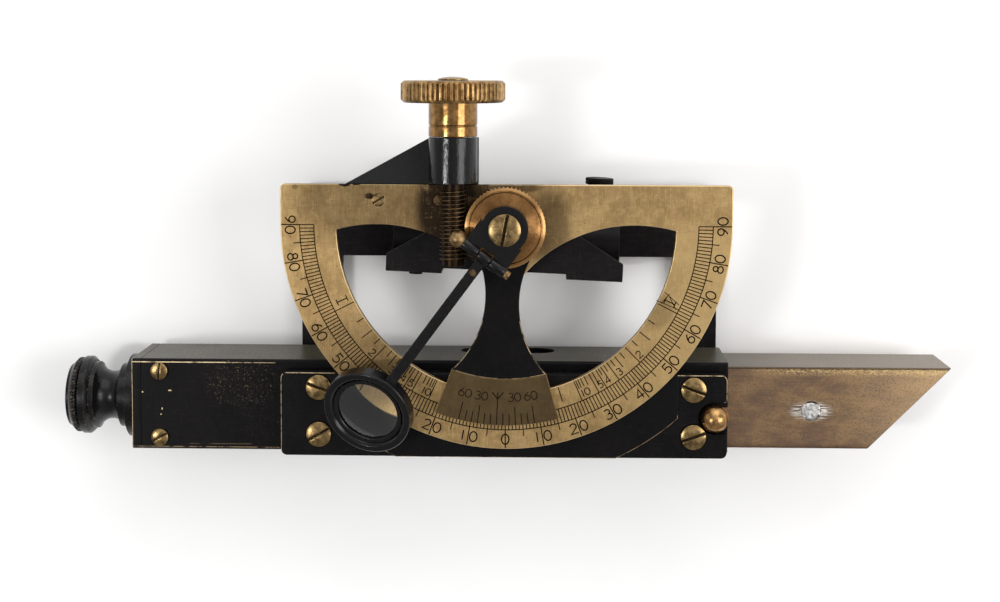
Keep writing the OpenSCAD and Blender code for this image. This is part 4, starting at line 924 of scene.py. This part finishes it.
rest, step, edge = e["vernierRest"], e["vernierStep"], e["vernierEdge"]
short, long, index = e["vernierLines"]
fine = {"face": "vernierFace", "width": 0.9}
vernierRows = [scaleRow(13, (rest - 6 * step) * degree, step * degree, edge - short, edge, **fine),
               scaleRow(5, (rest - 6 * step) * degree, 3 * step * degree, edge - long, edge - short, **fine),
               scaleRow(1, rest * degree, 1.0, edge - index, edge - long, **fine)]
form = bmesh.new()
for mark, text in ((-6, "60"), (-3, "30"), (3, "30"), (6, "60")):
    addFigures(form, text, e["vernierRadius"], rest + mark * step, e["vernierDigit"], e["vernierSpread"], "vernierFace",
               e["stroke"] * e["vernierStroke"])
crow = figureAt(e["crowRadius"], rest, 1, "vernierFace")
wide, tall = e["crowFoot"]
for side in (1, -1):
    addStroke(form, [(0, 0), (side * wide, tall)], e["stroke"] * e["gradientStroke"], crow)
engravedPiece("vernierScale", "index", vernierRows, form)
print("scales engraved")


# stage, lamps and camera
sheet = {"half": 2.5, "level": 0.0112, "low": paint(249, 249, 249), "high": paint(252, 252, 252)}  # m


def paperSheet():  # pale paper that the object lies on; its back lets the light through
    mesh = bpy.data.meshes.new("paper")
    half, level = sheet["half"], sheet["level"]
    mesh.from_pydata([(x * half, level, z * half) for x, z in ((-1, -1), (1, -1), (1, 1), (-1, 1))], [], [(0, 1, 2, 3)])
    paper = bpy.data.objects.new("paper", mesh)
    bpy.context.scene.collection.objects.link(paper)
    material, tree, shader = newMaterial("paper", roughness=0.9, specular=0.1)
    fibre = grain(tree, place(tree), 0.05, 3)
    dress(tree, shader, blend(tree, remap(tree, fibre, 0.3, 0.7), sheet["low"], sheet["high"]))
    clear = tree.nodes.new("ShaderNodeBsdfTransparent")
    side = tree.nodes.new("ShaderNodeNewGeometry")
    either = tree.nodes.new("ShaderNodeMixShader")
    tree.links.new(side.outputs["Backfacing"], either.inputs[0])
    tree.links.new(shader.outputs[0], either.inputs[1])
    tree.links.new(clear.outputs[0], either.inputs[2])
    tree.links.new(either.outputs[0], tree.nodes["Material Output"].inputs[0])
    mesh.materials.append(material)


paperSheet()
lamps = {  # direction about the object in degrees, distance and size in m, power in W
    "keyLamp": {"azimuth": -32, "height": -4, "distance": 0.8, "size": (0.14, 0.06), "power": 1.15},
    "fillLamp": {"azimuth": -32, "height": -4, "distance": 0.8, "size": (0.3, 0.4), "power": 0.55},
    "sideLamp": {"azimuth": 42, "height": 0, "distance": 0.8, "size": (0.42, 0.36), "power": 2.5},
    "topLamp": {"azimuth": 12, "height": 60, "distance": 0.8, "size": (0.9, 0.6), "power": 2.2},
}
aim = Vector((0, 0, 0.03))
for name, lamp in lamps.items():
    light = bpy.data.lights.new(name, "AREA")
    light.shape = "RECTANGLE"
    light.size, light.size_y = lamp["size"]
    light.energy = lamp["power"]
    lampObject = bpy.data.objects.new(name, light)
    bpy.context.scene.collection.objects.link(lampObject)
    turn, rise = radians(lamp["azimuth"]), radians(lamp["height"])
    way = Vector((sin(turn) * cos(rise), -cos(turn) * cos(rise), sin(rise)))
    lampObject.location = aim + way * lamp["distance"]
    lampObject.rotation_euler = (-way).to_track_quat("-Z", "Y").to_euler()

sky = bpy.data.worlds.new("studio")
bpy.context.scene.world = sky
sky.use_nodes = True
tree = sky.node_tree
direction = tree.nodes.new("ShaderNodeTexCoord").outputs["Generated"]
room = {"Y": (-1.0, 0.3, 0.62, 1.0), "Z": (-0.32, 0.14, 0.52, 1.04), "X": (-0.2, 0.2, 0.84, 1.26)}  # light along each axis
strength = 1.0
for axis, limits in room.items():
    strength = times(tree, strength, remap(tree, axisOf(tree, direction, axis), *limits))
backdrop = tree.nodes["Background"]
backdrop.inputs["Color"].default_value = (1.0, 0.99, 0.98, 1)
feed(tree, backdrop.inputs["Strength"], strength)

view = {"position": (6.9, -298.1, 68.0), "yaw": -1.59, "pitch": -4.1, "roll": 0.15,  # mm and degrees
        "lens": 1700 * 0.036, "shift": (180 - 301) / 1000}  # for a picture 1000 wide and 602 high
camera = bpy.data.cameras.new("camera")
camera.lens = view["lens"]
camera.sensor_width = 36
camera.shift_y = view["shift"]
camera.clip_start = 0.01
cameraObject = bpy.data.objects.new("camera", camera)
bpy.context.scene.collection.objects.link(cameraObject)
yaw, pitch, roll = (radians(view[k]) for k in ("yaw", "pitch", "roll"))
forward = Vector((sin(yaw) * cos(pitch), cos(yaw) * cos(pitch), sin(pitch)))
level = Vector((cos(yaw), -sin(yaw), 0))
upright = level.cross(forward)
right = cos(roll) * level + sin(roll) * upright
top = -sin(roll) * level + cos(roll) * upright
stand = Matrix((right, top, -forward)).transposed().to_4x4()
stand.translation = Vector(view["position"]) * mm
cameraObject.matrix_world = stand
bpy.context.scene.camera = cameraObject
bpy.context.scene.view_settings.view_transform = "Standard"
print("stage, lamps and camera set")
